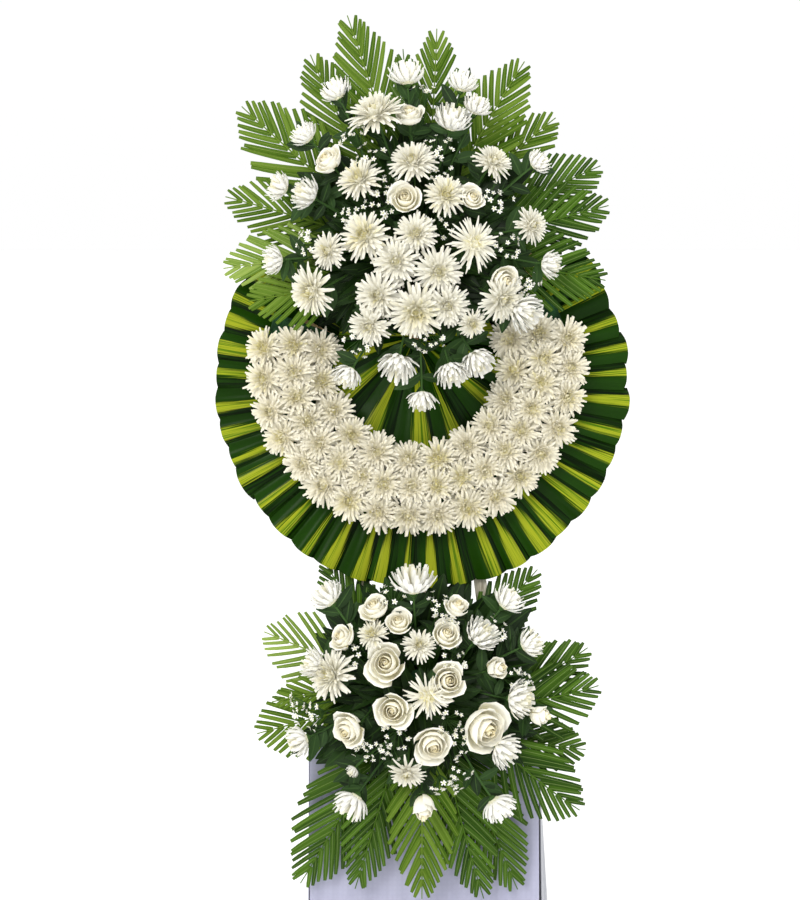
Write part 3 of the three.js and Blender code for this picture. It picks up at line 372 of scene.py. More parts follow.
@dataclass(frozen=True)
class VeinedLeaf(Finish):
    """A leaf blade with a waxy skin: a lighter middle rib and fine veins that run with the blade."""

    dark: str = "#24401a"
    light: str = "#3d6128"
    rib: str = "#6f8a45"
    rib_share: float = 0.07
    vein_count: float = 9.0
    specular: float = 0.3

    def constants(self) -> dict[str, float]:
        """Return how strongly the waxy skin mirrors."""
        return {"Specular IOR Level": self.specular}

    def colour(self, shader: Shader) -> Any:
        """Return a streaked green blade, varied from leaf to leaf, with its rib.

        Args:
            shader: Node tree to add to.

        Returns:
            The colour's socket.
        """
        across, _, tone = shader.notes()
        blade = shader.mix(shader.ramp(tone, 0.0, 1.0), linear(self.dark), linear(self.light))
        veins = shader.ramp(shader.streaks(self.vein_count, 2.0), 0.35, 0.65, 0.0, 0.45)
        veined = shader.mix(veins, blade, linear(self.light))
        off_rib = shader.add("ShaderNodeMath", {0: across}, operation="ABSOLUTE").outputs[0]
        on_rib = shader.ramp(off_rib, self.rib_share, self.rib_share * 2.2, 0.7, 0.0)
        return shader.mix(on_rib, veined, linear(self.rib))

    def relief(self, shader: Shader) -> Any:
        """Return the low ridges of the veins.

        Args:
            shader: Node tree to add to.

        Returns:
            The normal's socket.
        """
        height = shader.streaks(self.vein_count * 1.6, 1.0, 1.0)
        return shader.add("ShaderNodeBump", {
            "Strength": 0.25, "Distance": 0.0006, "Height": height}).outputs[0]


@dataclass(frozen=True)
class StripedLeaf(Finish):
    """Striped dracaena leaf: hard glossy skin, dark green sides and a lime stripe up the middle."""

    dark: str = "#061601"
    side: str = "#1a3c04"
    stripe: str = "#9aa324"
    stripe_green: str = "#426b0c"
    stripe_share: float = 0.23
    specular: float = 0.06

    def colour(self, shader: Shader) -> Any:
        """Return the stripe with its frayed edges, the green streaks beside and in it, and painted shade on
        one half of each folded leaf.

        Args:
            shader: Node tree to add to.

        Returns:
            The colour's socket.
        """
        across, along, tone = shader.notes()
        wander = shader.ramp(tone, 0.0, 1.0, -0.22, 0.22)
        fray = shader.ramp(shader.streaks(18.0, 0.9), 0.3, 0.7, -0.10, 0.10)
        moved = shader.add("ShaderNodeMath", {0: across, 1: wander}, operation="ADD").outputs[0]
        off = shader.add("ShaderNodeMath", {0: moved}, operation="ABSOLUTE").outputs[0]
        edge = shader.add("ShaderNodeMath", {0: off, 1: fray}, operation="ADD").outputs[0]
        widening = shader.ramp(along, 0.0, 1.0, 0.13, -0.06)
        edge = shader.add("ShaderNodeMath", {0: edge, 1: widening}, operation="ADD").outputs[0]
        varied = shader.ramp(shader.streaks(0.3, 0.7, 0.0), 0.35, 0.65, -0.10, 0.08)
        edge = shader.add("ShaderNodeMath", {0: edge, 1: varied}, operation="ADD").outputs[0]
        # Painted shade and light: one half of each folded leaf gets the dark green, the other half the
        # lighter side green
        half = shader.mix(shader.ramp(moved, -0.1, 0.5), linear(self.dark), linear(self.side))
        sides = shader.mix(shader.ramp(shader.streaks(9.0, 1.2), 0.35, 0.7, 0.0, 0.8),
                           half, linear(self.side))
        toned = shader.mix(shader.ramp(tone, 0.6, 1.0, 0.0, 0.4), sides, linear(self.dark))
        lime = shader.mix(shader.ramp(shader.streaks(15.0, 0.9), 0.42, 0.66),
                          linear(self.stripe), linear(self.stripe_green))
        in_stripe = shader.ramp(edge, self.stripe_share - 0.09, self.stripe_share + 0.07, 1.0, 0.0)
        return shader.mix(in_stripe, toned, lime)

    def constants(self) -> dict[str, float]:
        """Return how strongly the hard skin mirrors."""
        return {"Specular IOR Level": self.specular}

    def relief(self, shader: Shader) -> Any:
        """Return the long low pleats of the blade."""
        return shader.add("ShaderNodeBump", {
            "Strength": 0.3, "Distance": 0.001, "Height": shader.streaks(6.0, 0.8, 1.0)}).outputs[0]


@dataclass(frozen=True)
class Timber(Finish):
    """Sawn timber: grain lines that run with the length, rough and matt under thin paint or bare."""

    light: str = "#cfc9b8"
    dark: str = "#9d9480"
    grain_mm: float = 5.0
    ply_mm: float = 0.0

    def colour(self, shader: Shader) -> Any:
        """Return drawn-out grain, with the plies where a sheet shows its edge.

        Args:
            shader: Node tree to add to.

        Returns:
            The colour's socket.
        """
        where = shader.add("ShaderNodeTexCoord").outputs["Object"]
        drawn = shader.add("ShaderNodeMapping", {
            "Vector": where, "Scale": (1 / self.grain_mm, 1 / self.grain_mm, 0.06 / self.grain_mm)})
        grain = shader.add("ShaderNodeTexNoise", {
            "Vector": drawn.outputs[0], "Scale": 1000.0, "Detail": 5.0, "Distortion": 0.6})
        wood = shader.mix(shader.ramp(grain.outputs[0], 0.35, 0.68), linear(self.light), linear(self.dark))
        if not self.ply_mm:
            return wood
        tilt = shader.add("ShaderNodeMapping", {"Vector": where, "Rotation": (Board.lean, 0, 0)})
        plies = shader.add("ShaderNodeTexWave", {
            "Vector": tilt.outputs[0], "Scale": 1000 / (20 * self.ply_mm), "Distortion": 0.4},
            bands_direction="Y")
        return shader.mix(shader.ramp(plies.outputs[1], 0.4, 0.7, 0.0, 0.35), wood, linear(self.dark))

    def relief(self, shader: Shader) -> Any:
        """Return the raised fibres of sawn wood.

        Args:
            shader: Node tree to add to.

        Returns:
            The normal's socket.
        """
        where = shader.add("ShaderNodeTexCoord").outputs["Object"]
        drawn = shader.add("ShaderNodeMapping", {"Vector": where, "Scale": (1.0, 1.0, 0.05)})
        fibre = shader.add("ShaderNodeTexNoise", {
            "Vector": drawn.outputs[0], "Scale": 700.0, "Detail": 3.0})
        return shader.add("ShaderNodeBump", {
            "Strength": 0.4, "Distance": 0.0006, "Height": fibre.outputs[0]}).outputs[0]


@dataclass(frozen=True)
class WetFoam(Finish):
    """Soaked floral foam: a dark green block of crushed cells, dull and damp."""

    pore_mm: float = 1.6

    def colour(self, shader: Shader) -> Any:
        """Return mottled damp green.

        Args:
            shader: Node tree to add to.

        Returns:
            The colour's socket.
        """
        where = shader.add("ShaderNodeTexCoord").outputs["Object"]
        patches = shader.add("ShaderNodeTexNoise", {"Vector": where, "Scale": 60.0, "Detail": 6.0})
        return shader.mix(shader.ramp(patches.outputs[0], 0.3, 0.7), linear("#1d3b22"), linear("#34603a"))

    def relief(self, shader: Shader) -> Any:
        """Return the open cells of the cut face.

        Args:
            shader: Node tree to add to.

        Returns:
            The normal's socket.
        """
        where = shader.add("ShaderNodeTexCoord").outputs["Object"]
        cells = shader.add("ShaderNodeTexVoronoi", {"Vector": where, "Scale": 1000 / self.pore_mm})
        return shader.add("ShaderNodeBump", {
            "Strength": 0.7, "Distance": 0.0008, "Height": cells.outputs[0]}).outputs[0]


@dataclass(frozen=True)
class Taffeta(Finish):
    """Woven polyester taffeta: a close plain weave with a low sheen, drawn at 1.5 mm so it shows."""

    thread: str = "#b3b4cb"
    shade: str = "#a4a5be"
    thread_mm: float = 1.5

    def weave(self, shader: Shader) -> Any:
        """Return the crossing threads as a height from 0 to 1.

        Args:
            shader: Node tree to add to.

        Returns:
            The height's socket.
        """
        where = shader.add("ShaderNodeTexCoord").outputs["Object"]
        bands = [
            shader.add("ShaderNodeTexWave", {
                "Vector": where, "Scale": 1000 / (20 * self.thread_mm), "Distortion": 0.3},
                bands_direction=axis).outputs[1]
            for axis in ("X", "Z")
        ]
        return shader.add("ShaderNodeMath", {0: bands[0], 1: bands[1]}, operation="MULTIPLY").outputs[0]

    def colour(self, shader: Shader) -> Any:
        """Return thread colour with its shaded gaps and a faint uneven dye.

        Args:
            shader: Node tree to add to.

        Returns:
            The colour's socket.
        """
        where = shader.add("ShaderNodeTexCoord").outputs["Object"]
        dye = shader.add("ShaderNodeTexNoise", {"Vector": where, "Scale": 9.0, "Detail": 2.0})
        woven = shader.mix(shader.ramp(self.weave(shader), 0.0, 0.6, 0.25, 0.0),
                           linear(self.thread), linear(self.shade))
        return shader.mix(shader.ramp(dye.outputs[0], 0.3, 0.8, 0.0, 0.35), woven, linear(self.shade))

    def relief(self, shader: Shader) -> Any:
        """Return the weave and the small creases of a cloth that has been folded away.

        Args:
            shader: Node tree to add to.

        Returns:
            The normal's socket.
        """
        where = shader.add("ShaderNodeTexCoord").outputs["Object"]
        creases = shader.add("ShaderNodeTexNoise", {"Vector": where, "Scale": 14.0, "Detail": 4.0})
        soft = shader.add("ShaderNodeBump", {
            "Strength": 0.35, "Distance": 0.006, "Height": creases.outputs[0]})
        return shader.add("ShaderNodeBump", {
            "Strength": 0.08, "Distance": 0.0003, "Height": self.weave(shader),
            "Normal": soft.outputs[0]}).outputs[0]

    def constants(self) -> dict[str, float]:
        """Return the sheen of its filament threads."""
        return {"Sheen Weight": 0.25, "Sheen Roughness": 0.4}


@dataclass(frozen=True)
class PaleFloor(Finish):
    """A matt painted studio floor, almost even, with a trace of unevenness."""

    def colour(self, shader: Shader) -> Any:
        """Return near white with the faintest mottling.

        Args:
            shader: Node tree to add to.

        Returns:
            The colour's socket.
        """
        where = shader.add("ShaderNodeTexCoord").outputs["Object"]
        cloud = shader.add("ShaderNodeTexNoise", {"Vector": where, "Scale": 0.8, "Detail": 2.0})
        return shader.mix(cloud.outputs[0], linear("#f8f8f7"), linear("#fcfcfb"))


MUM_PETAL = ChrysanthemumPetal("chrysanthemum_petal", 0.55, 1.42)
RING_PETAL = ChrysanthemumPetal("ring_chrysanthemum_petal", 0.6, 1.42, root="#cdc67c", blade="#f3eedd",
                                shaded="#dfd9c1", heart="#ded69e")
CUP_PETAL = ChrysanthemumPetal("white_chrysanthemum_petal", 0.55, 1.42, root="#dcdaa8", blade="#fbfaf4",
                               shaded="#ecebe2", heart="#efeaca")
ROSE_PETAL = RosePetal("rose_petal", 0.5, 1.42)
DISC_FLORET = DiscFloret("disc_floret", 0.7)
STEM_SKIN = VeinedLeaf("green_stem_skin", 0.5, dark="#26401a", light="#3c5a29", rib="#486534", specular=0.15)
# Three copies of one palm green: a plain one, a darker one that paints shade, and a paler one that partly
# paints sheen
FRESH_PALM = VeinedLeaf("fresh_palm_leaflet", 0.42, 1.45, dark="#305206", light="#64802a", rib="#839446",
                        rib_share=0.05, vein_count=6.0, specular=0.06)
SHADED_PALM = VeinedLeaf("shaded_palm_leaflet", 0.34, 1.45, dark="#143103", light="#476918", rib="#7a8f50",
                       rib_share=0.05, vein_count=6.0, specular=0.12)
SHEEN_PALE_PALM = VeinedLeaf("sheen_pale_palm_leaflet", 0.42, 1.45, dark="#4f7018", light="#8aa24b", rib="#a3b36c",
                         rib_share=0.05, vein_count=6.0, specular=0.08)
DARK_LEAF = VeinedLeaf("dark_foliage_leaf", 0.4, 1.47, dark="#0c1a07", light="#223b13", rib="#33501d",
                       specular=0.15)
MUM_LEAF = VeinedLeaf("chrysanthemum_leaf", 0.6, 1.45, dark="#13230c", light="#2a441d", rib="#3d592a",
                      specular=0.2)
DRACAENA = StripedLeaf("striped_dracaena_leaf", 0.27, 1.5)
WHITEWASH = Timber("whitewashed_pine", 0.7, 1.5)
PLYWOOD = Timber("birch_plywood", 0.6, 1.5, light="#d8b98a", dark="#a98554", grain_mm=9.0, ply_mm=1.5)
FOAM = WetFoam("wet_floral_foam", 0.9, 1.33)
LAVENDER = Taffeta("lavender_taffeta", 0.6, 1.5)
# A grey copy of the lavender taffeta: painted shade on the skirt's right side panel
SHADED_SIDE_TAFFETA = Taffeta("shade_grey_taffeta", 0.6, 1.5, thread="#a9abb3", shade="#94979f")
FLOOR = PaleFloor("pale_studio_floor", 0.9)


# Mesh making


@lru_cache(maxsize=None)
def tube_faces(stations: int, sides: int) -> Array:
    """Return the quads of a closed tube with an even number of sides, its ends capped.

    Args:
        stations: Number of rings along the tube.
        sides: Number of sides, even.

    Returns:
        (quads, 4) corner numbers.
    """
    grid = np.arange(stations * sides).reshape(stations, sides)
    after = np.roll(grid, -1, axis=1)
    walls = np.stack([grid[:-1], after[:-1], after[1:], grid[1:]], axis=-1).reshape(-1, 4)
    ends = [[0, 2 * j - 1, 2 * j, 2 * j + 1] for j in range(1, sides // 2)]
    first = np.array(ends)[:, ::-1]
    last = np.array(ends) + (stations - 1) * sides
    return np.concatenate([walls, first, last])


@lru_cache(maxsize=None)
def sheet_faces(rows: int, columns: int) -> Array:
    """Return the quads of a closed thin sheet: its front grid, its back grid and the rim.

    Args:
        rows: Rows of the grid.
        columns: Columns of the grid.

    Returns:
        (quads, 4) corner numbers.
    """
    grid = np.arange(rows * columns).reshape(rows, columns)
    front = np.stack([grid[:-1, :-1], grid[:-1, 1:], grid[1:, 1:], grid[1:, :-1]], axis=-1).reshape(-1, 4)
    back = front[:, ::-1] + rows * columns
    rim = np.concatenate([grid[0, :-1], grid[:-1, -1], grid[-1, :0:-1], grid[:0:-1, 0]])
    ahead = np.roll(rim, -1)
    offset = rows * columns
    edge = np.stack([ahead, rim, rim + offset, ahead + offset], axis=-1)
    return np.concatenate([front, back, edge])


def behind(front: Array, thickness: float) -> Array:
    """Find the back of a sheet by moving its front inwards along its own normals.

    Args:
        front: (..., rows, columns, 3) front face in mm.
        thickness: Thickness in mm.

    Returns:
        The back face, in the same order.
    """
    along = np.gradient(front, axis=-3)
    across = np.gradient(front, axis=-2)
    return front - unit(np.cross(across, along)) * thickness


class Draft:
    """Gathers the closed bodies of one piece before Blender makes its mesh."""

    def __init__(self) -> None:
        """Start with nothing gathered."""
        self.corners: list[Array] = []
        self.notes: list[Array] = []
        self.faces: list[Array] = []
        self.marks: list[Array] = []
        self.finishes: list[Finish] = []
        self.count = 0

    def add_bodies(self, corners: Array, faces: Array, notes: Array, finish: Finish) -> None:
        """Add several like bodies, each turned so that its faces look outwards.

        Args:
            corners: (bodies, corners, 3) in mm.
            faces: (faces, 4) shared by the bodies.
            notes: (bodies, corners, 3) of across, along and tone.
            finish: What they are finished in.
        """
        a, b, c, d = (corners[:, faces[:, i]] for i in range(4))
        volume = (a * (np.cross(b, c) + np.cross(c, d))).sum(axis=(1, 2))
        bodies, size = corners.shape[:2]
        starts = self.count + np.arange(bodies) * size
        laid = faces[None] + starts[:, None, None]
        laid = np.where((volume < 0)[:, None, None], laid[:, :, ::-1], laid)
        if finish not in self.finishes:
            self.finishes.append(finish)
        self.corners.append(corners.reshape(-1, 3))
        self.notes.append(notes.reshape(-1, 3))
        self.faces.append(laid.reshape(-1, 4))
        self.marks.append(np.full(bodies * len(faces), self.finishes.index(finish)))
        self.count += bodies * size

    def add_tubes(self, rings: Array, along: Array, tone: Array, finish: Finish) -> None:
        """Add closed tubes or straps.

        Args:
            rings: (bodies, stations, sides, 3) in mm.
            along: (stations,) from root to tip.
            tone: (bodies,) from 0 to 1.
            finish: What they are finished in.
        """
        bodies, stations, sides, _ = rings.shape
        across = np.cos(np.pi * (1 + 2 * np.arange(sides) / sides))
        notes = np.stack(np.broadcast_arrays(
            across[None, None, :], along[None, :, None], tone[:, None, None]), axis=-1)
        self.add_bodies(rings.reshape(bodies, -1, 3), tube_faces(stations, sides), notes, finish)

    def add_straps(self, path: Array, side: Array, up: Array, section: Array, tone: Array,
                   finish: Finish) -> None:
        """Add narrow four-sided petals or leaflets.

        Args:
            path: (bodies, stations, 3) middle lines in mm.
            side: (bodies, stations, 3) directions across.
            up: (bodies, stations, 3) directions of the upper faces.
            section: (bodies, stations, 3) of half width, thickness and how far the edges rise.
            tone: (bodies,) from 0 to 1.
            finish: What they are finished in.
        """
        half, thick, rise = (section[..., i:i + 1] for i in range(3))
        left = path - side * half + up * rise
        right = path + side * half + up * rise
        rings = np.stack([left, path + up * thick / 2, right, path - up * thick / 2], axis=2)
        self.add_tubes(rings, np.linspace(0, 1, path.shape[1]), tone, finish)

    def add_sheets(self, front: Array, thickness: float, across: Array, tone: Array,
                   finish: Finish) -> None:
        """Add closed thin blades.

        Args:
            front: (bodies, rows, columns, 3) front faces in mm.
            thickness: Thickness in mm.
            across: (columns,) from -1 to 1.
            tone: (bodies,) from 0 to 1.
            finish: What they are finished in.
        """
        bodies, rows, columns, _ = front.shape
        notes = np.stack(np.broadcast_arrays(
            across[None, None, :], np.linspace(0, 1, rows)[None, :, None], tone[:, None, None]), axis=-1)
        corners = np.concatenate([front.reshape(bodies, -1, 3),
                                  behind(front, thickness).reshape(bodies, -1, 3)], axis=1)
        notes = notes.reshape(bodies, -1, 3)
        self.add_bodies(corners, sheet_faces(rows, columns), np.concatenate([notes, notes], axis=1), finish)

    def add_stalk(self, path: Array, radii: Array, tone: float, finish: Finish, sides: int = 6) -> None:
        """Add one round stalk along a path.

        Args:
            path: (stations, 3) in mm.
            radii: (stations,) in mm.
            tone: From 0 to 1.
            finish: What it is finished in.
            sides: Number of sides, even.
        """
        tangent = unit(np.gradient(path, axis=0))
        helper = np.where(np.abs(tangent[:, :1]) < 0.9, [[1.0, 0, 0]], [[0, 0, 1.0]])
        first = unit(np.cross(helper, tangent))
        second = np.cross(tangent, first)
        angle = 2 * np.pi * np.arange(sides) / sides
        ring = first[:, None] * np.cos(angle)[:, None] + second[:, None] * np.sin(angle)[:, None]
        rings = path[:, None] + ring * radii[:, None, None]
        self.add_tubes(rings[None], np.linspace(0, 1, len(path)), np.array([tone]), finish)

    def mesh(self, name: str, to_row: Callable[[Array], Array], palette: Palette) -> bpy.types.Mesh:
        """Make the Blender mesh.

        Args:
            name: Name of the mesh.
            to_row: Function that turns the draft's points into metres in the row frame.
            palette: Where finished materials are kept.

        Returns:
            The mesh, with its materials and surface notes.
        """
        corners = to_row(np.concatenate(self.corners))
        faces = np.concatenate(self.faces)
        mesh = bpy.data.meshes.new(name)
        mesh.vertices.add(len(corners))
        mesh.vertices.foreach_set("co", corners.astype(np.float32).ravel())
        mesh.loops.add(faces.size)
        mesh.loops.foreach_set("vertex_index", faces.astype(np.int32).ravel())
        mesh.polygons.add(len(faces))
        mesh.polygons.foreach_set("loop_start", np.arange(0, faces.size, 4, dtype=np.int32))
        mesh.polygons.foreach_set("material_index", np.concatenate(self.marks).astype(np.int32))
        mesh.polygons.foreach_set("use_smooth", np.ones(len(faces), bool))
        mesh.update(calc_edges=True)
        mesh.set_sharp_from_angle(angle=SHARP_EDGE)
        notes = mesh.attributes.new(NOTES, "FLOAT_VECTOR", "POINT")
        notes.data.foreach_set("vector", np.concatenate(self.notes).astype(np.float32).ravel())
        for finish in self.finishes:
            mesh.materials.append(palette.get(finish))
        return mesh


class Palette:
    """Keeps one material for each finish."""

    def __init__(self) -> None:
        """Start with no material made."""
        self.made: dict[Finish, bpy.types.Material] = {}

    def get(self, finish: Finish) -> bpy.types.Material:
        """Return the finish's material, made at its first use.

        Args:
            finish: The finish that is wanted.

        Returns:
            Its material.
        """
        if finish not in self.made:
            self.made[finish] = finish.build()
        return self.made[finish]


class Board:
    """The leaning board's axes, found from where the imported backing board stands."""

    lean = math.radians(8)
    centre = DISC_MIDDLE + [0, 4.5, 0]

    def __init__(self) -> None:
        """Find the shift between the board's axes and the row frame."""
        low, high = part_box("backing_board")
        seat = np.array((low + high) / 2) / MM
        self.shift = seat - self.leaned(self.centre)

    def leaned(self, points: Array) -> Array:
        """Return points of the leaning board set out level, still in mm.

        Args:
            points: (..., 3) on the board, in mm.

        Returns:
            (..., 3) in mm.
        """
        x, y, z = points[..., 0], points[..., 1], points[..., 2]
        sin, cos = math.sin(self.lean), math.cos(self.lean)
        return np.stack([x, y * cos + z * sin, z * cos - y * sin], axis=-1)

    def to_row(self, points: Array) -> Array:
        """Return board points in metres in the row frame."""
        return (self.leaned(points) + self.shift) * MM

    def level_to_row(self, points: Array) -> Array:
        """Return points set out level from the board's foot in metres in the row frame."""
        return (points + self.shift) * MM

    def back_at(self, level: float | Array, forward: float) -> float | Array:
        """Return how far back the plane at a depth forward of the board lies at a level."""
        return level * math.tan(self.lean) - forward / math.cos(self.lean)


class Workshop:
    """Turns drafts into pieces that ride on the frame."""

    def __init__(self) -> None:
        """Set up the board's axes and the palette."""
        self.board = Board()
        self.palette = Palette()

    def deliver(self, draft: Draft, name: str, nodes: tuple[str, ...] = (),
                level: bool = False) -> bpy.types.Object:
        """Make a piece from a draft and fasten it to the frame.

        Args:
            draft: What the piece is made of.
            name: The piece's name.
            nodes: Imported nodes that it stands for.
            level: True where the draft is set out level and not on the leaning board.

        Returns:
            The new object.
        """
        to_row = self.board.level_to_row if level else self.board.to_row
        piece = bpy.data.objects.new(name, draft.mesh(name, to_row, self.palette))
        bpy.context.scene.collection.objects.link(piece)
        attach(piece, "root")
        if nodes:
            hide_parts(*nodes)
        faces = sum(len(part) for part in draft.faces)
        LOG.info("%s: %d faces, stands for %s", name, faces, ", ".join(nodes) or "nothing")
        return piece

    def dress_node(self, node: str, finish: Finish, bevel_mm: float) -> None:
        """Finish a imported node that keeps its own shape, and take the sharpness off its edges.

        Args:
            node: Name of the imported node.
            finish: What it is finished in.
            bevel_mm: Width of the eased edges.
        """
        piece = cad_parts[node]
        piece.data.materials.clear()
        piece.data.materials.append(self.palette.get(finish))
        weld = piece.modifiers.new("one_skin", "WELD")
        weld.merge_threshold = 1e-5
        bevel = piece.modifiers.new("eased_edges", "BEVEL")
        bevel.width = bevel_mm * MM
        bevel.segments = 2
        bevel.limit_method = "ANGLE"
        bevel.angle_limit = math.radians(40)
        LOG.info("%s: packed node finished in %s", node, finish.name)


# Flowers and leaves


@dataclass
class Seat:
    """Where a flower stands: its middle, its axes and its radius in mm."""

    centre: Array
    turn: Array
    radius: float

    def at(self, points: Array) -> Array:
        """Return the flower's own points on the board."""
        return self.centre + points @ self.turn.T


@dataclass(frozen=True)
class Whorl:
    """One ring of petals: angles are above the flower's plane, sizes are shares of its radius."""

    petals: int
    length: float
    root_angle: float
    tip_angle: float
    foot: float
    half_width: float


@dataclass(frozen=True)
class Chrysanthemum:
    """A chrysanthemum head: whorls of strap petals round a tuft of disc florets."""

    whorls: tuple[Whorl, ...]
    finish: Finish
    cup: float = 0.35
    tuft: int = 9
    unruly: float = 1.0
    cushion: float = 0.5
    sink: float = 0.0
    tip: float = 0.34
    heart: float = 0.13

    def grow(self, draft: Draft, seat: Seat, rng: np.random.Generator) -> None:
        """Add the head to a draft.

        Args:
            draft: Draft of the piece.
            seat: Where the head stands.
            rng: Seeded source of its irregularity.
        """
        head_tone = rng.uniform(0, 0.3)
        seat = Seat(seat.at(np.array([0, 0, -self.sink * seat.radius])), seat.turn, seat.radius)
        for level, whorl in enumerate(self.whorls):
            angles = level * 0.37 + 2 * np.pi * np.arange(whorl.petals) / whorl.petals
            inner = (level / max(1, len(self.whorls) - 1)) ** 2
            self.grow_whorl(draft, seat, rng, whorl, angles, head_tone + 0.55 * inner)
        self.grow_heart(draft, seat, rng)

    def grow_whorl(self, draft: Draft, seat: Seat, rng: np.random.Generator, whorl: Whorl,
                   angles: Array, head_tone: float) -> None:
        """Add one whorl of petals, each a channelled strap that bends along its length.

        Args:
            draft: Draft of the piece.
            seat: Where the head stands.
            rng: Seeded source of its irregularity.
            whorl: The whorl's petals, sizes and angles.
            angles: (petals,) directions round the head, in radians.
            head_tone: Tone that the petals vary about.
        """
        count = whorl.petals
        shares = np.linspace(0, 1, 5)
        turn = angles + rng.normal(0, 0.07 * self.unruly, count)
        length = seat.radius * whorl.length * rng.uniform(0.88, 1.08, count)
        start = np.radians(whorl.root_angle + rng.normal(0, 4 * self.unruly, count))
        end = np.radians(whorl.tip_angle + rng.normal(0, 10 * self.unruly, count))
        rise = start[:, None] + (end - start)[:, None] * shares ** 1.3
        heading = turn[:, None] + rng.normal(0, 0.09 * self.unruly, count)[:, None] * shares ** 2
        out = np.stack([np.cos(heading), np.sin(heading), np.zeros_like(heading)], axis=-1)
        axis = np.array([0, 0, 1.0])
        tangent = out * np.cos(rise)[..., None] + axis * np.sin(rise)[..., None]
        up = axis * np.cos(rise)[..., None] - out * np.sin(rise)[..., None]
        steps = (tangent[:, 1:] + tangent[:, :-1]) / 2 * (length[:, None, None] / 4)
        foot = out[:, :1] * whorl.foot * seat.radius
        path = np.concatenate([foot, foot + np.cumsum(steps, axis=1)], axis=1)
        swell = np.array([0.6, 0.9, 1.0, 0.94, self.tip])
        half = np.broadcast_to(whorl.half_width * seat.radius * swell, (count, 5))
        thick = np.broadcast_to(0.75 * np.array([1, 1, 0.9, 0.7, 0.4]), (count, 5))
        section = np.stack([half, thick, half * self.cup], axis=-1)
        side = np.cross(tangent, up)
        tone = np.clip(head_tone + rng.normal(0.08, 0.12, count), 0, 1)
        draft.add_straps(seat.at(path), side @ seat.turn.T, up @ seat.turn.T, section, tone, self.finish)

    def grow_heart(self, draft: Draft, seat: Seat, rng: np.random.Generator) -> None:
        """Add the tuft of disc florets, the head's core and the green cup below it.

        Args:
            draft: Draft of the piece.
            seat: Where the head stands.
            rng: Seeded source of its irregularity.
        """
        radius = seat.radius
        index = np.arange(self.tuft)
        spread = self.heart * radius * np.sqrt((index + 0.5) / self.tuft)
        turn = index * GOLDEN_ANGLE
        foot = np.stack([spread * np.cos(turn), spread * np.sin(turn), np.full(self.tuft, 0.1 * radius)], -1)
        lean = unit(foot * [1, 1, 0] / radius * 2.5 + [0, 0, 1.0])
        shares = np.array([0, 0.6, 1.0])
        length = radius * rng.uniform(0.2, 0.28, self.tuft)
        path = foot[:, None] + lean[:, None] * (length[:, None] * shares)[..., None]
        side = unit(np.cross(lean, [0.31, 0.22, -0.9]))[:, None] * np.ones((1, 3, 1))
        up = np.cross(side, lean[:, None])
        girth = 0.22 * self.heart * radius * np.array([0.8, 1.0, 0.5])
        section = np.stack(np.broadcast_arrays(girth, girth * 2, 0.0), axis=-1)[None]
        tone = rng.uniform(0, 1, self.tuft)
        draft.add_straps(seat.at(path), side @ seat.turn.T, up @ seat.turn.T, section, tone, DISC_FLORET)
        wide = self.cushion
        dome = [(0.12, -0.1), (wide, -0.01), (0.8 * wide, 0.1), (0.45 * wide, 0.25), (0.08, 0.32)]
        add_lathe(draft, seat, dome, self.finish)
        add_lathe(draft, seat, [(0.06, -0.26), (0.15, -0.2), (0.24, -0.08), (0.2, 0.0)], STEM_SKIN)


def add_lathe(draft: Draft, seat: Seat, profile: list[tuple[float, float]], finish: Finish,
              sides: int = 8) -> None:
    """Add a small turned body on a flower's axis.

    Args:
        draft: Draft of the piece.
        seat: Where the flower stands.
        profile: Radius and height pairs from the bottom up, as shares of the flower's radius.
        finish: What it is finished in.
        sides: Number of sides, even.
    """
    angle = 2 * np.pi * np.arange(sides) / sides
    rings = np.stack([
        np.stack([r * np.cos(angle), r * np.sin(angle), np.full(sides, z)], axis=-1) for r, z in profile])
    draft.add_tubes(seat.at(rings * seat.radius)[None], np.linspace(0, 1, len(profile)),
                    np.array([0.5]), finish)


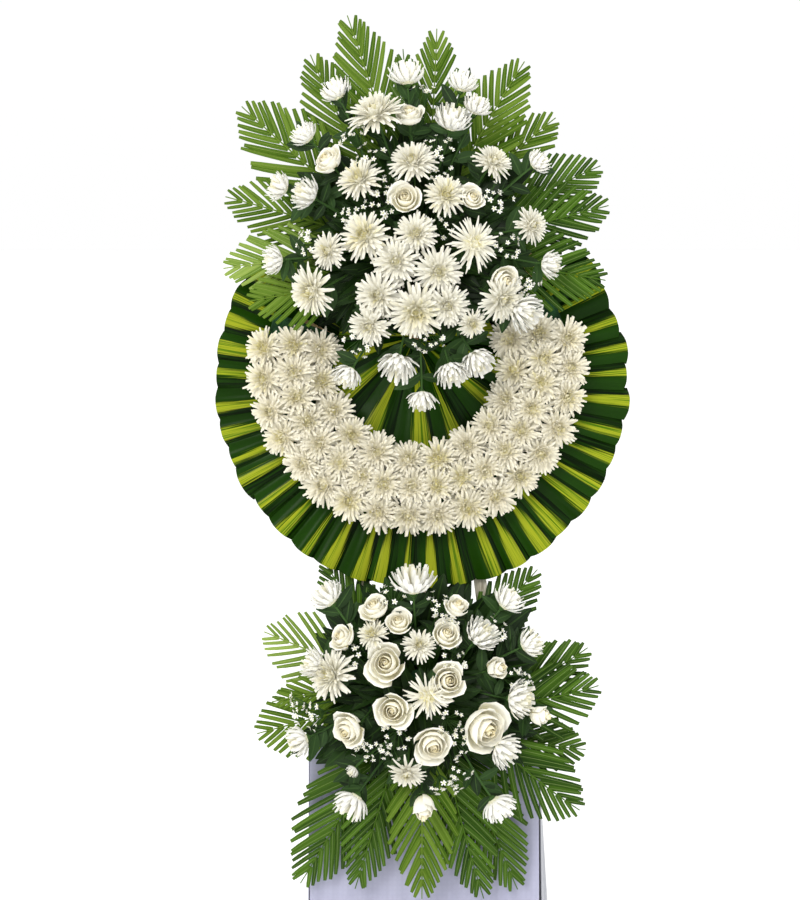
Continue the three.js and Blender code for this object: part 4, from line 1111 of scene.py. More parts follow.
@dataclass(frozen=True)
class Rose:
    """A rose: petals set round a spiral, wrapped tight in the heart and rolled back outside."""

    petals: int = 14
    spread: float = 1.0
    height: float = 1.0
    depth: float = 0.6

    def grow(self, draft: Draft, seat: Seat, rng: np.random.Generator) -> None:
        """Add the rose to a draft.

        Args:
            draft: Draft of the piece.
            seat: Where the rose stands.
            rng: Seeded source of its irregularity.
        """
        count, rows, columns = self.petals, 7, 7
        opened = np.linspace(0.0, 1.0, count)[:, None, None]
        up = np.linspace(0, 1, rows)[None, :, None]
        across = np.linspace(-1, 1, columns)[None, None, :]
        turn = (np.arange(count) * GOLDEN_ANGLE + rng.normal(0, 0.12, count))[:, None, None]
        wrap = np.radians(128 - 70 * opened ** 0.7)
        tip = 1 - 0.26 * np.abs(across) ** 2.6 + 0.05 * opened * np.exp(-(across / 0.22) ** 2)
        v = up * tip
        belly = 0.13 + 0.74 * opened ** 1.2 * self.spread
        rim = belly * (0.62 + 0.40 * opened ** 0.8)
        top = (0.56 - 0.34 * opened ** 1.5) * self.height
        low = -self.depth * (0.6 + 0.4 * opened)
        ring = (3 * v * (1 - v) ** 2 * belly * 1.15 + 3 * v ** 2 * (1 - v) * belly * 1.12 + v ** 3 * rim
                + (1 - v) ** 3 * 0.05)
        level = ((1 - v) ** 3 * low + 3 * v * (1 - v) ** 2 * low * 0.85
                 + 3 * v ** 2 * (1 - v) * (top * 0.6) + v ** 3 * top)
        rolled = smooth(0.72, 1.0, v) ** 1.5 * smooth(0.45, 1.0, opened) * self.spread
        phase = rng.uniform(*ANY_TURN, (count, 1, 1))
        wave = (0.012 + 0.035 * opened) * np.sin(across * 4.5 + phase) * v ** 3
        uneven = rng.normal(0, 0.035, (count, 1, 1)) * v
        ring = ring * (1 + 0.07 * across) + rolled * (0.17 + 0.10 * np.abs(across)) + wave
        level = level - rolled * (0.04 + 0.12 * across ** 2) + wave + uneven
        angle = turn + wrap * across
        front = np.stack(np.broadcast_arrays(ring * np.cos(angle), ring * np.sin(angle), level), axis=-1)
        front = front * seat.radius
        tone = np.clip(opened[:, 0, 0] + rng.normal(0, 0.06, count), 0, 1)
        draft.add_sheets(seat.at(front), 0.4, across[0, 0], tone, ROSE_PETAL)
        crown = 0.5 * self.height
        add_lathe(draft, seat, [(0.03, -0.3), (0.10, 0.0), (0.085, 0.7 * crown), (0.02, crown)], ROSE_PETAL)
        add_lathe(draft, seat, [(0.05, -self.depth - 0.28), (0.14, -self.depth - 0.2),
                                (0.16, -self.depth - 0.05), (0.1, -self.depth + 0.08)], STEM_SKIN)
        self.grow_sepals(draft, seat, rng)

    def grow_sepals(self, draft: Draft, seat: Seat, rng: np.random.Generator) -> None:
        """Add the five green sepals that hug the back of the rose.

        Args:
            draft: Draft of the piece.
            seat: Where the rose stands.
            rng: Seeded source of its irregularity.
        """
        shares = np.linspace(0, 1, 4)
        turn = 2 * np.pi * np.arange(5) / 5 + rng.normal(0, 0.1, 5)
        out = np.stack([np.cos(turn), np.sin(turn), np.zeros(5)], axis=-1)
        reach = 0.1 + 0.5 * shares
        drop = -self.depth - 0.02 + 0.22 * shares ** 2
        path = out[:, None] * reach[:, None] + np.stack([0 * drop, 0 * drop, drop], -1)
        up = np.broadcast_to([0, 0, -1.0], path.shape)
        side = np.cross(out[:, None], up)
        half = 0.09 * seat.radius * np.array([0.8, 1.0, 0.6, 0.15])
        section = np.stack(np.broadcast_arrays(half, 0.8, 0.0), axis=-1)[None]
        draft.add_straps(seat.at(path * seat.radius), side @ seat.turn.T, up @ seat.turn.T, section,
                         np.full(5, 0.5), STEM_SKIN)


@dataclass(frozen=True)
class Leaves:
    """Simple pointed leaves: shape of the blade for a whole set of leaves."""

    finish: Finish
    half_width: float = 14.0
    fold: float = 0.28
    arch: float = 0.22
    widest: float = 0.42
    thickness: float = 0.6

    def grow(self, draft: Draft, roots: Array, headings: Array, faces: Array, lengths: Array,
             rng: np.random.Generator, wall: float = 1e3) -> None:
        """Add a set of leaves.

        Args:
            draft: Draft of the piece.
            roots: (leaves, 3) where they leave their stem.
            headings: (leaves, 3) directions that they grow in.
            faces: (leaves, 3) directions that their upper sides look in, roughly.
            lengths: (leaves,) in mm.
            rng: Seeded source of their irregularity.
            wall: How far back the leaves may reach before something stops them.
        """
        count = len(roots)
        shares = np.array([0, 0.1, 0.26, 0.45, 0.64, 0.82, 0.94, 1.0])
        across = np.array([-1.0, 0, 1.0])
        heading = unit(headings)
        side = unit(np.cross(heading, faces))
        up = np.cross(side, heading)
        peak = self.widest
        swell = np.where(shares < peak, np.sin(np.pi / 2 * (0.12 + 0.88 * shares / peak)),
                         np.cos(np.pi / 2 * ((shares - peak) / (1 - peak)) ** 1.25))
        half = self.half_width * (lengths / 70)[:, None] * (0.06 + 0.94 * swell)
        sag = self.arch * lengths[:, None] * shares ** 2 * rng.uniform(0.3, 1.5, (count, 1))
        wave = rng.normal(0, 0.06, (count, 1)) * half
        lift = self.fold * half[:, :, None] * np.abs(across) + (wave * shares)[:, :, None] * across ** 2
        along = lengths[:, None] * shares
        front = (roots[:, None, None] + heading[:, None, None] * along[:, :, None, None]
                 + side[:, None, None] * (half[:, :, None] * across)[..., None]
                 + up[:, None, None] * (lift - sag[:, :, None])[..., None])
        front[..., 1] = np.minimum(front[..., 1], wall - 0.02 * np.abs(front[..., 1] - wall))
        draft.add_sheets(front, self.thickness, across, rng.uniform(0, 1, count), self.finish)


SPRAY_MUM = Chrysanthemum((
    Whorl(20, 1.12, 2, -12, 0.10, 0.086),
    Whorl(21, 1.05, 16, 4, 0.10, 0.086),
    Whorl(21, 0.96, 29, 24, 0.10, 0.082),
    Whorl(20, 0.86, 42, 50, 0.10, 0.077),
    Whorl(18, 0.74, 53, 76, 0.10, 0.071),
    Whorl(15, 0.62, 61, 100, 0.10, 0.065),
    Whorl(10, 0.50, 69, 120, 0.09, 0.059),
), MUM_PETAL, tip=0.46, unruly=1.3)
CUPPED_MUM = Chrysanthemum((
    Whorl(12, 1.22, 4, 66, 0.14, 0.152),
    Whorl(12, 1.38, 20, 74, 0.14, 0.150),
    Whorl(11, 1.44, 34, 80, 0.13, 0.140),
    Whorl(10, 1.42, 48, 86, 0.12, 0.128),
    Whorl(8, 1.34, 60, 92, 0.10, 0.114),
    Whorl(6, 1.22, 70, 96, 0.08, 0.100),
), CUP_PETAL, cup=0.42, cushion=0.34, sink=0.4, tip=0.62, unruly=0.55)
SPIDER_MUM = Chrysanthemum((
    Whorl(20, 1.12, 6, -18, 0.10, 0.056),
    Whorl(20, 1.02, 20, 2, 0.10, 0.056),
    Whorl(18, 0.86, 36, 26, 0.09, 0.056),
    Whorl(15, 0.68, 54, 58, 0.08, 0.054),
    Whorl(10, 0.48, 70, 92, 0.06, 0.050),
), MUM_PETAL, cup=0.6, unruly=1.8)
RING_MUM = Chrysanthemum((
    Whorl(23, 1.10, 2, -16, 0.10, 0.077),
    Whorl(25, 1.02, 16, 4, 0.10, 0.077),
    Whorl(25, 0.92, 29, 28, 0.10, 0.073),
    Whorl(23, 0.82, 41, 54, 0.10, 0.069),
    Whorl(21, 0.72, 51, 78, 0.10, 0.064),
    Whorl(17, 0.62, 59, 100, 0.10, 0.060),
    Whorl(12, 0.50, 67, 120, 0.09, 0.056),
), RING_PETAL, unruly=1.7, tip=0.5, cushion=0.64)
DAISY = Chrysanthemum((Whorl(5, 1.0, 34, 16, 0.16, 0.28),), CUP_PETAL, cup=0.3, tuft=4, cushion=0.2,
                      tip=0.55, heart=0.3)
OPEN_ROSE = Rose()
ROSE_BUD = Rose(petals=12, spread=0.70, height=1.7, depth=0.7)
MUM_LEAVES = Leaves(MUM_LEAF, half_width=15.0, fold=0.2, arch=0.25)
DARK_LEAVES = Leaves(DARK_LEAF, half_width=12.0)


class Kind(Enum):
    """The kinds of flower that the sprays hold."""

    MUM = "chrysanthemum"
    OPEN = "fully open chrysanthemum"
    SPIDER = "spidery chrysanthemum"
    ROSE = "open rose"
    BUD = "rosebud"

    def form(self, tilt: float) -> Chrysanthemum | Rose:
        """Return the flower's form; a chrysanthemum seen from its side is a cup.

        Args:
            tilt: Angle between the flower and straight ahead, in radians.

        Returns:
            The form to grow.
        """
        if self is Kind.MUM:
            return CUPPED_MUM if tilt > CUP_TILT else SPRAY_MUM
        return {Kind.OPEN: SPRAY_MUM, Kind.SPIDER: SPIDER_MUM, Kind.ROSE: OPEN_ROSE,
                Kind.BUD: ROSE_BUD}[self]


# Sprays


@dataclass(frozen=True)
class Foam:
    """A foam block's limits on the board, in mm."""

    left: float
    right: float
    bottom: float
    top: float
    back: float
    front: float


@dataclass(frozen=True)
class Bunch:
    """Blooms (kind, column, row, width in pixels) and filler clusters of one bunch."""

    name: str
    blooms: tuple[tuple[Kind, float, float, float], ...]
    filler: tuple[tuple[float, float], ...] = ()
    clock_middle: float = 0.0
    root: float = 0.0


class PalmShade(Enum):
    """How light the palm leaves are painted: DEEP is a darker copy of the green that paints shade, BRIGHT a
    paler copy that partly paints sheen.
    """

    FRESH = FRESH_PALM
    DEEP = SHADED_PALM
    BRIGHT = SHEEN_PALE_PALM


@dataclass(frozen=True)
class FrondPlan:
    """A frond: its tip and a point on its rib as pixels, half width in mm and depth on the board.

    Fullness is half of what a leaflet fills of the space between its neighbours.
    """

    tip: tuple[float, float]
    rib: tuple[float, float]
    half_width: float
    layer: float
    shade: PalmShade = PalmShade.FRESH
    fall: float = 0.0
    root: tuple[float, float] | None = None
    fullness: float = 0.47


@dataclass
class Spray:
    """A spray of flowers in a foam block: bunches of blooms, palm fronds and dark foliage."""

    name: str
    foam: Foam
    reach: float
    crown: float
    apex: tuple[float, float]
    bunches: tuple[Bunch, ...]
    fronds: tuple[FrondPlan, ...]
    seed: int
    leaflets: int = 11
    filler_radius: float = 27.0
    filler_flowers: int = 14
    foliage: int = 180
    wall_gap: float = 3.5
    stalk_leaves: int = 7
    middle: Array = field(init=False)

    def __post_init__(self) -> None:
        """Find the spray's middle on the board."""
        self.middle = place(*self.apex, self.foam.front + 40)

    def wall(self) -> float:
        """Return how far back leaves may reach: just short of the board or the legs."""
        return -self.foam.back - self.wall_gap

    def stance(self, column: float, row: float, width: float) -> tuple[Array, Array, float, float]:
        """Work out where a bloom stands and looks: ahead at the middle, outwards at the edge.

        Args:
            column: Pixel column of the bloom.
            row: Pixel row of the bloom.
            width: Width in pixels.

        Returns:
            Its middle, the direction that it faces, its radius in mm and its tilt in radians.
        """
        forward = self.crown
        for _ in range(3):
            centre = place(column, row, forward)
            radius = width / 2 * MM_PER_PIXEL * (VIEW_DISTANCE - forward) / VIEW_DISTANCE
            away = (centre - self.middle) * [1, 0, 1]
            share = min(1.0, float(np.linalg.norm(away)) / self.reach)
            tilt = math.radians(76) * share ** 1.2
            facing = unit(away) * math.sin(tilt) + FORWARD * math.cos(tilt)
            least = self.foam.front + 3 + radius * (math.sin(tilt) + 0.6 * math.cos(tilt))
            dome = self.crown - (self.crown - self.foam.front - 26) * share ** 1.6
            forward = max(least, dome)
        return place(column, row, forward), facing, radius, tilt

    def build(self, shop: Workshop) -> None:
        """Build every bunch and frond of the spray, and its foliage.

        Args:
            shop: Workshop that makes and fastens the pieces.
        """
        for number, bunch in enumerate(self.bunches):
            rng = np.random.default_rng(self.seed + number)
            draft = Draft()
            self.grow_bunch(draft, bunch, rng)
            shop.deliver(draft, f"{bunch.name}_flowers", (bunch.name,))
        for number, plan in enumerate(self.fronds):
            rng = np.random.default_rng(self.seed + 50 + number)
            draft = Draft()
            self.grow_frond(draft, plan, rng)
            node = f"{self.name}_frond_{number + 1}"
            shop.deliver(draft, f"{node}_leaf", (node,))
        draft = Draft()
        self.grow_foliage(draft, np.random.default_rng(self.seed + 90))
        shop.deliver(draft, f"{self.name}_foliage")

    def grow_bunch(self, draft: Draft, bunch: Bunch, rng: np.random.Generator) -> None:
        """Add one bunch: its blooms on bent stalks with leaves, and its filler clusters.

        Args:
            draft: Draft of the piece.
            bunch: What the bunch holds.
            rng: Seeded source of its irregularity.
        """
        root = self.middle + clock(bunch.clock_middle) * bunch.root
        root[1] = -self.foam.front + 24
        for kind, column, row, width in bunch.blooms:
            centre, facing, radius, tilt = self.stance(column, row, width)
            if kind is Kind.MUM and tilt > CUP_TILT:
                away = unit((centre - self.middle) * [1, 0, 1])
                facing = away * math.sin(tilt + CUP_LEAN) + FORWARD * math.cos(tilt + CUP_LEAN)
            seat = Seat(centre, turned(facing, rng.uniform(*ANY_TURN)), radius)
            kind.form(tilt).grow(draft, seat, rng)
            neck = centre - facing * radius * (0.8 if kind in (Kind.ROSE, Kind.BUD) else 0.22)
            self.grow_stalk(draft, root, neck, facing, rng)
        for column, row in bunch.filler:
            self.grow_filler(draft, root, column, row, rng)

    def grow_stalk(self, draft: Draft, root: Array, neck: Array, facing: Array,
                   rng: np.random.Generator) -> None:
        """Add a bloom's stalk, bent up into its neck, with leaves along it.

        Args:
            draft: Draft of the piece.
            root: Where the stalk leaves the foam.
            neck: Where it meets the bloom.
            facing: Direction that the bloom faces.
            rng: Seeded source of its irregularity.
        """
        count = self.stalk_leaves
        bend = neck - facing * 0.35 * np.linalg.norm(neck - root)
        bend[1] = min(bend[1], -self.foam.front - 4)
        path = bezier([root, bend, neck], np.linspace(0, 1, 8))
        draft.add_stalk(path, np.linspace(2.6, 2.0, 8), rng.uniform(0, 1), STEM_SKIN)
        places = bezier([root, bend, neck], rng.uniform(0.5, 0.95, count))
        away = unit((neck - root) * [1, 0, 1] + [0, 0, 1e-3])
        spin = rng.uniform(-1.5, 1.5, count)
        heading = away * np.cos(spin)[:, None] + np.cross(away, FORWARD) * np.sin(spin)[:, None]
        heading = heading + FORWARD * rng.uniform(-0.3, 0.25, count)[:, None]
        faces = FORWARD + rng.normal(0, 0.3, (count, 3))
        MUM_LEAVES.grow(draft, places, heading, faces, rng.uniform(34, 56, count), rng, self.wall())

    def grow_filler(self, draft: Draft, root: Array, column: float, row: float,
                    rng: np.random.Generator) -> None:
        """Add a cluster of tiny daisies on forked stalks.

        Args:
            draft: Draft of the piece.
            root: Where the stalk leaves the foam.
            column: Pixel column of the cluster.
            row: Pixel row of the cluster.
            rng: Seeded source of its irregularity.
        """
        middle, facing, _, _ = self.stance(column, row, 14)
        middle = middle - facing * 7
        fork = middle - facing * self.filler_radius * 1.2
        path = bezier([root, fork - facing * 12, fork], np.linspace(0, 1, 6))
        draft.add_stalk(path, np.linspace(1.6, 1.1, 6), 0.5, STEM_SKIN)
        axes = turned(facing)
        for number in range(self.filler_flowers):
            spread = math.sqrt(rng.uniform(0.02, 1.1)) * self.filler_radius
            turn = number * GOLDEN_ANGLE + rng.normal(0, 0.6)
            offset = np.array([math.cos(turn) * spread, math.sin(turn) * spread, rng.uniform(-9, 5)])
            centre = middle + axes @ offset
            look = unit(facing + (centre - middle) / 40 + rng.normal(0, 0.15, 3))
            size = rng.uniform(3.2, 5.8)
            DAISY.grow(draft, Seat(centre, turned(look, turn), size), rng)
            twig = bezier([fork, fork * 0.3 + centre * 0.7 - look * 6, centre - look * size * 0.2],
                          np.linspace(0, 1, 4))
            draft.add_stalk(twig, np.full(4, 0.7), 0.6, STEM_SKIN, sides=4)

    def frond_root(self, plan: FrondPlan, rib: Array) -> Array:
        """Find where a frond's rib leaves the foam block.

        Args:
            plan: The frond.
            rib: The point on its rib that the plan gives, on the board.

        Returns:
            The point on the board, in mm.
        """
        if plan.root is not None:
            return np.array([plan.root[0], -plan.layer, plan.root[1]])
        heading = unit((rib - self.middle) * [1, 0, 1])
        sideways = (self.foam.right if heading[0] > 0 else self.foam.left) - self.middle[0]
        upwards = (self.foam.top if heading[2] > 0 else self.foam.bottom) - self.middle[2]
        reach = min(abs(sideways / heading[0]), abs(upwards / heading[2]))
        root = self.middle + heading * reach
        root[1] = -plan.layer
        return root

    def grow_frond(self, draft: Draft, plan: FrondPlan, rng: np.random.Generator) -> None:
        """Add one palm frond: a tapering rib with folded leaflets to both sides.

        Args:
            draft: Draft of the piece.
            plan: The frond's tip, rib, width and depth.
            rng: Seeded source of its irregularity.
        """
        tip, rib = place(*plan.tip, plan.layer), place(*plan.rib, plan.layer)
        root = self.frond_root(plan, rib)
        shares = np.linspace(0, 1, 60)
        line = bezier([root, rib, tip], shares)
        gone = np.concatenate([[0], np.cumsum(np.linalg.norm(np.diff(line, axis=0), axis=1))])
        length = gone[-1]

        def on_rib(share: Array) -> Array:
            """Return points at shares of the rib's length."""
            return np.stack([np.interp(share * length, gone, line[:, i]) for i in range(3)], axis=-1)

        def settle(points: Array, off_rib: Array) -> Array:
            """Return blade points bowed back with distance and drooping off the rib.

            Args:
                points: (..., 3) on the board, in mm.
                off_rib: Distances from the rib, in mm.

            Returns:
                The moved points.
            """
            along = np.clip(np.linalg.norm((points - root) * [1, 0, 1], axis=-1) / length, 0, 1)
            beyond = np.maximum(0, np.linalg.norm((points - self.middle) * [1, 0, 1], axis=-1) - 140) / 260
            back = 12 * beyond ** 2 - plan.fall * along + 4 * (off_rib / plan.half_width) ** 2
            return points + back[..., None] * np.array([0, 1.0, 0])

        peg = root - unit(line[1] - line[0]) * 13
        raised = on_rib(np.linspace(0, 1, 14)) + FORWARD * 1.3
        stem = np.concatenate([peg[None], settle(raised, np.zeros(14))])
        finish = plan.shade.value
        draft.add_stalk(stem, np.linspace(2.6, 1.1, 15), 0.8, finish)
        first = min(0.22, 26 / length)
        count = max(8, round(self.leaflets * length / 260))
        last = 0.95
        t = first + (last - first) * np.arange(count) / count
        pitch = (last - first) / count * length
        for sign in (1, -1):
            foot = on_rib(t)
            tangent = unit(on_rib(np.minimum(t + 0.02, 1)) - on_rib(t - 0.02))
            outward = np.cross(tangent, FORWARD) * sign
            lean = np.radians(42 - 20 * t + rng.normal(0, 1.5, count))
            reach = self.trimmed(plan.half_width * 1.16, length, t, lean) * rng.uniform(0.95, 1.03, count)
            heading = outward * np.sin(lean)[:, None] + tangent * np.cos(lean)[:, None]
            along = np.linspace(0, 1, 7)
            sweep = 0.10 * along ** 2
            path = (foot[:, None] + heading[:, None] * (reach[:, None] * along)[..., None]
                    + tangent[:, None] * (reach[:, None] * sweep)[..., None])
            off = (reach * np.sin(lean))[:, None] * along
            path = settle(path, off)
            side = unit(np.cross(heading, FORWARD))[:, None] * np.ones((1, 7, 1))
            twist = rng.normal(0, 0.16, count)[:, None, None]
            up = unit(FORWARD + side * twist)
            side = unit(np.cross(up, heading[:, None]))
            width = plan.fullness * pitch * np.sin(lean)
            taper = np.array([1.0, 1.06, 1.03, 0.99, 0.95, 0.88, 0.64])
            half = width[:, None] * taper
            section = np.stack(np.broadcast_arrays(half, 0.55, -0.26 * half), axis=-1)
            tone = np.clip(rng.normal(0.45, 0.25, count) + 0.2 * (t - 0.5), 0, 1)
            draft.add_straps(path, side, up, section, tone, finish)

    def trimmed(self, half_width: float, length: float, t: Array, lean: Array) -> Array:
        """Return how long leaflets are that are trimmed to a diamond, as florists cut the fronds.

        Args:
            half_width: Half width of the diamond in mm.
            length: Length of the rib in mm.
            t: Shares of the rib's length at the leaflets' feet.
            lean: Angles between the leaflets and the rib.

        Returns:
            Lengths in mm.
        """
        tries = np.linspace(0.02, 1.6, 160)[:, None] * half_width
        along = t + tries * np.cos(lean) / length
        outline = np.interp(along, [0.0, 0.2, 0.45, 0.62, 0.85, 1.04], [0.5, 0.8, 1.0, 0.98, 0.55, 0.06])
        inside = tries * np.sin(lean) < half_width * outline
        return (inside.cumprod(axis=0).sum(axis=0) / 160 * 1.58 + 0.02) * half_width

    def grow_foliage(self, draft: Draft, rng: np.random.Generator) -> None:
        """Add the dark leaves that stand in the foam and hide it from every side.

        Args:
            draft: Draft of the piece.
            rng: Seeded source of its irregularity.
        """
        foam, count = self.foam, self.foliage
        wide, tall = foam.right - foam.left, foam.top - foam.bottom
        index = np.arange(count)
        share = (index * 0.618034) % 1.0
        level = (index + 0.5) / count
        front = np.stack([foam.left + wide * share, np.full(count, -foam.front + 3.0),
                          foam.bottom + tall * level], axis=-1)
        away = (front - self.middle) * [1, 0, 1]
        reach = np.linalg.norm(away, axis=-1, keepdims=True)
        lift = 0.75 - 0.45 * np.clip(reach / (wide / 2), 0, 1)
        heading = unit(away + rng.normal(0, 26, (count, 3)) * [1, 0, 1]) + FORWARD * lift
        faces = FORWARD + rng.normal(0, 0.25, (count, 3))
        DARK_LEAVES.grow(draft, front, heading, faces, rng.uniform(52, 84, count), rng)
        turn = (index + rng.uniform(-0.4, 0.4, count)) / count * 360
        ray = clock(turn)
        scale = np.minimum(wide / 2 / np.maximum(np.abs(ray[:, 0]), 1e-6),
                           tall / 2 / np.maximum(np.abs(ray[:, 2]), 1e-6))
        centre = np.array([(foam.left + foam.right) / 2, 0, (foam.bottom + foam.top) / 2])
        roots = centre + ray * (scale - 3)[:, None]
        depth = rng.uniform(foam.back + 12, foam.front - 4, count)
        roots[:, 1] = -depth
        forward = (depth - (foam.back + foam.front) / 2) / (foam.front - foam.back)
        heading = ray + FORWARD * (forward * 0.9)[:, None] + rng.normal(0, 0.18, (count, 3)) * [1, 0, 1]
        faces = FORWARD + rng.normal(0, 0.3, (count, 3))
        lengths = rng.uniform(60, 104, count) * (1 + 0.5 * np.maximum(0, ray[:, 2]))
        DARK_LEAVES.grow(draft, roots, heading, faces, lengths, rng, self.wall())


MUM, OPEN, SPIDER, ROSE, BUD = Kind.MUM, Kind.OPEN, Kind.SPIDER, Kind.ROSE, Kind.BUD
FRESH, DEEP, BRIGHT = PalmShade.FRESH, PalmShade.DEEP, PalmShade.BRIGHT

UPPER_SPRAY = Spray(
    name="upper",
    foam=Foam(left=-123, right=107, bottom=1262, top=1422, back=0.3, front=100),
    reach=335,
    crown=178,
    apex=(420, 250),
    seed=100,
    bunches=(
        Bunch("upper_bunch_top", (
            (MUM, 407, 77, 34), (MUM, 462, 85, 30), (MUM, 476, 108, 28), (OPEN, 377, 116, 54),
            (ROSE, 409, 115, 32), (MUM, 452, 122, 36), (MUM, 413, 163, 42),
        ), ((425, 85), (437, 165), (440, 142)), 1.5, 52),
        Bunch("upper_bunch_right", (
            (MUM, 492, 163, 36), (MUM, 537, 163, 26), (ROSE, 472, 198, 28), (MUM, 530, 226, 34),
            (SPIDER, 473, 244, 48), (MUM, 548, 264, 27),
        ), ((500, 195), (511, 246)), 64.75, 62),
        Bunch("upper_bunch_low_right", (
            (ROSE, 504, 281, 36), (MUM, 502, 299, 42), (MUM, 523, 311, 36),
        ), ((531, 284),), 119.5, 50),
        Bunch("upper_bunch_low", (
            (MUM, 379, 295, 44), (MUM, 416, 311, 50), (MUM, 447, 305, 40), (MUM, 370, 325, 38),
            (MUM, 472, 323, 26), (MUM, 349, 374, 28), (MUM, 398, 364, 36), (MUM, 451, 371, 32),
            (MUM, 476, 360, 34), (MUM, 422, 398, 28),
        ), ((430, 343), (352, 350)), 188.5, 40),
        Bunch("upper_bunch_left", (
            (MUM, 337, 93, 30), (MUM, 306, 136, 28), (ROSE, 328, 161, 33), (MUM, 360, 180, 40),
            (MUM, 281, 188, 28), (MUM, 308, 195, 32), (MUM, 365, 236, 44), (MUM, 329, 251, 34),
            (MUM, 276, 260, 28), (MUM, 313, 291, 46),
        ), ((350, 130), (367, 150), (380, 180), (380, 200), (347, 212), (300, 240)), 286.75, 60),
        Bunch("upper_bunch_middle", (
            (ROSE, 405, 199, 36), (MUM, 445, 196, 38), (MUM, 416, 234, 38), (MUM, 396, 262, 44),
            (MUM, 438, 271, 42),
        ), ((440, 222),)),
    ),
    # Fronds in the darker green carry painted shade; those in the paler green carry partly painted sheen
    fronds=(
        FrondPlan((248, 301), (300, 293), 58, 92, FRESH),
        FrondPlan((223, 268), (290, 258), 58, 76, BRIGHT),
        FrondPlan((225, 196), (290, 214), 56, 60, FRESH, fullness=0.40),
        FrondPlan((241, 105), (310, 170), 70, 46, FRESH),
        FrondPlan((310, 53), (342, 130), 60, 32, FRESH),
        FrondPlan((347, 13), (380, 110), 66, 60, FRESH),
        FrondPlan((437, 27), (434, 120), 54, 46, FRESH),
        FrondPlan((525, 60), (483, 125), 62, 60, FRESH),
        FrondPlan((556, 117), (495, 165), 60, 32, FRESH),
        FrondPlan((601, 165), (535, 195), 62, 46, DEEP),
        FrondPlan((609, 205), (545, 222), 60, 76, DEEP),
        FrondPlan((606, 280), (540, 268), 64, 90, DEEP),
        FrondPlan((403, 48), (408, 112), 34, 78, DEEP),
    ),
)

LOWER_SPRAY = Spray(
    name="lower",
    foam=Foam(left=-115, right=115, bottom=436.3, top=597, back=-9, front=91),
    reach=250,
    crown=166,
    apex=(418, 700),
    seed=200,
    bunches=(
        Bunch("lower_bunch_top", (
            (MUM, 413, 584, 42), (ROSE, 375, 608, 33), (ROSE, 399, 623, 30), (ROSE, 457, 607, 28),
            (ROSE, 446, 635, 34), (MUM, 419, 646, 30), (MUM, 373, 635, 28),
        ), ((388, 591), (441, 599), (448, 613)), 0.25, 56),
        Bunch("lower_bunch_right", (
            (MUM, 507, 602, 32), (MUM, 480, 636, 36), (MUM, 528, 644, 30), (BUD, 496, 669, 30),
            (MUM, 517, 699, 36), (BUD, 539, 715, 28),
        ), ((504, 625), (520, 675), (532, 688)), 67.5, 66),
        Bunch("lower_bunch_low_right", (
            (ROSE, 484, 728, 54), (MUM, 503, 749, 34), (MUM, 497, 805, 34),
        ), ((460, 782), (460, 752)), 128, 60),
        Bunch("lower_bunch_low", (
            (MUM, 407, 772, 32), (MUM, 353, 802, 36), (BUD, 423, 806, 34), (MUM, 353, 770, 13),
        ), ((385, 755), (444, 793)), 191.5, 62),
        Bunch("lower_bunch_left", (
            (MUM, 328, 598, 34), (ROSE, 342, 638, 30), (OPEN, 333, 676, 48), (MUM, 315, 664, 28),
            (ROSE, 349, 730, 39), (MUM, 301, 740, 30),
        ), ((347, 652), (290, 708), (306, 716), (361, 751)), 277.25, 66),
        Bunch("lower_bunch_middle", (
            (ROSE, 387, 664, 46), (ROSE, 448, 681, 42), (SPIDER, 427, 696, 40), (ROSE, 393, 710, 41),
            (ROSE, 433, 744, 43),
        ), ((456, 657), (451, 726), (395, 740))),
    ),
    # Fronds in the darker green carry painted shade; those in the paler green carry partly painted sheen
    fronds=(
        FrondPlan((323, 562), (358, 612), 46, 4, DEEP, -9, (-88, 597)),
        FrondPlan((264, 632), (332, 660), 62, 44, BRIGHT, fullness=0.34),
        FrondPlan((257, 734), (320, 716), 64, 60, FRESH, fullness=0.42),
        FrondPlan((300, 885), (345, 812), 72, 38, DEEP, 0, (-66, 436.3)),
        FrondPlan((355, 890), (376, 820), 54, 54, DEEP, 0, (-40, 436.3)),
        FrondPlan((422, 900), (422, 824), 58, 70, FRESH, 0, (0, 436.3)),
        FrondPlan((484, 900), (458, 817), 54, 54, DEEP, 0, (34, 436.3)),
        FrondPlan((518, 891), (486, 818), 62, 38, DEEP, 0, (62, 436.3)),
        FrondPlan((580, 811), (515, 768), 70, 76, DEEP, 0, (115, 455)),
        FrondPlan((599, 686), (535, 706), 64, 60, DEEP),
        FrondPlan((588, 648), (528, 690), 56, 44, DEEP),
        FrondPlan((538, 570), (497, 615), 46, 4, DEEP, -9, (86, 597)),
        FrondPlan((272, 702), (322, 690), 32, 76, FRESH),
        FrondPlan((586, 750), (521, 744), 52, 44, DEEP),
    ),
)


# The round panel


@dataclass
class HeadRow:
    """One row of heads round the horseshoe, by its radius and clock angles."""

    radius: float
    start: float
    end: float
    heads: int
    rise: float
    lean: float


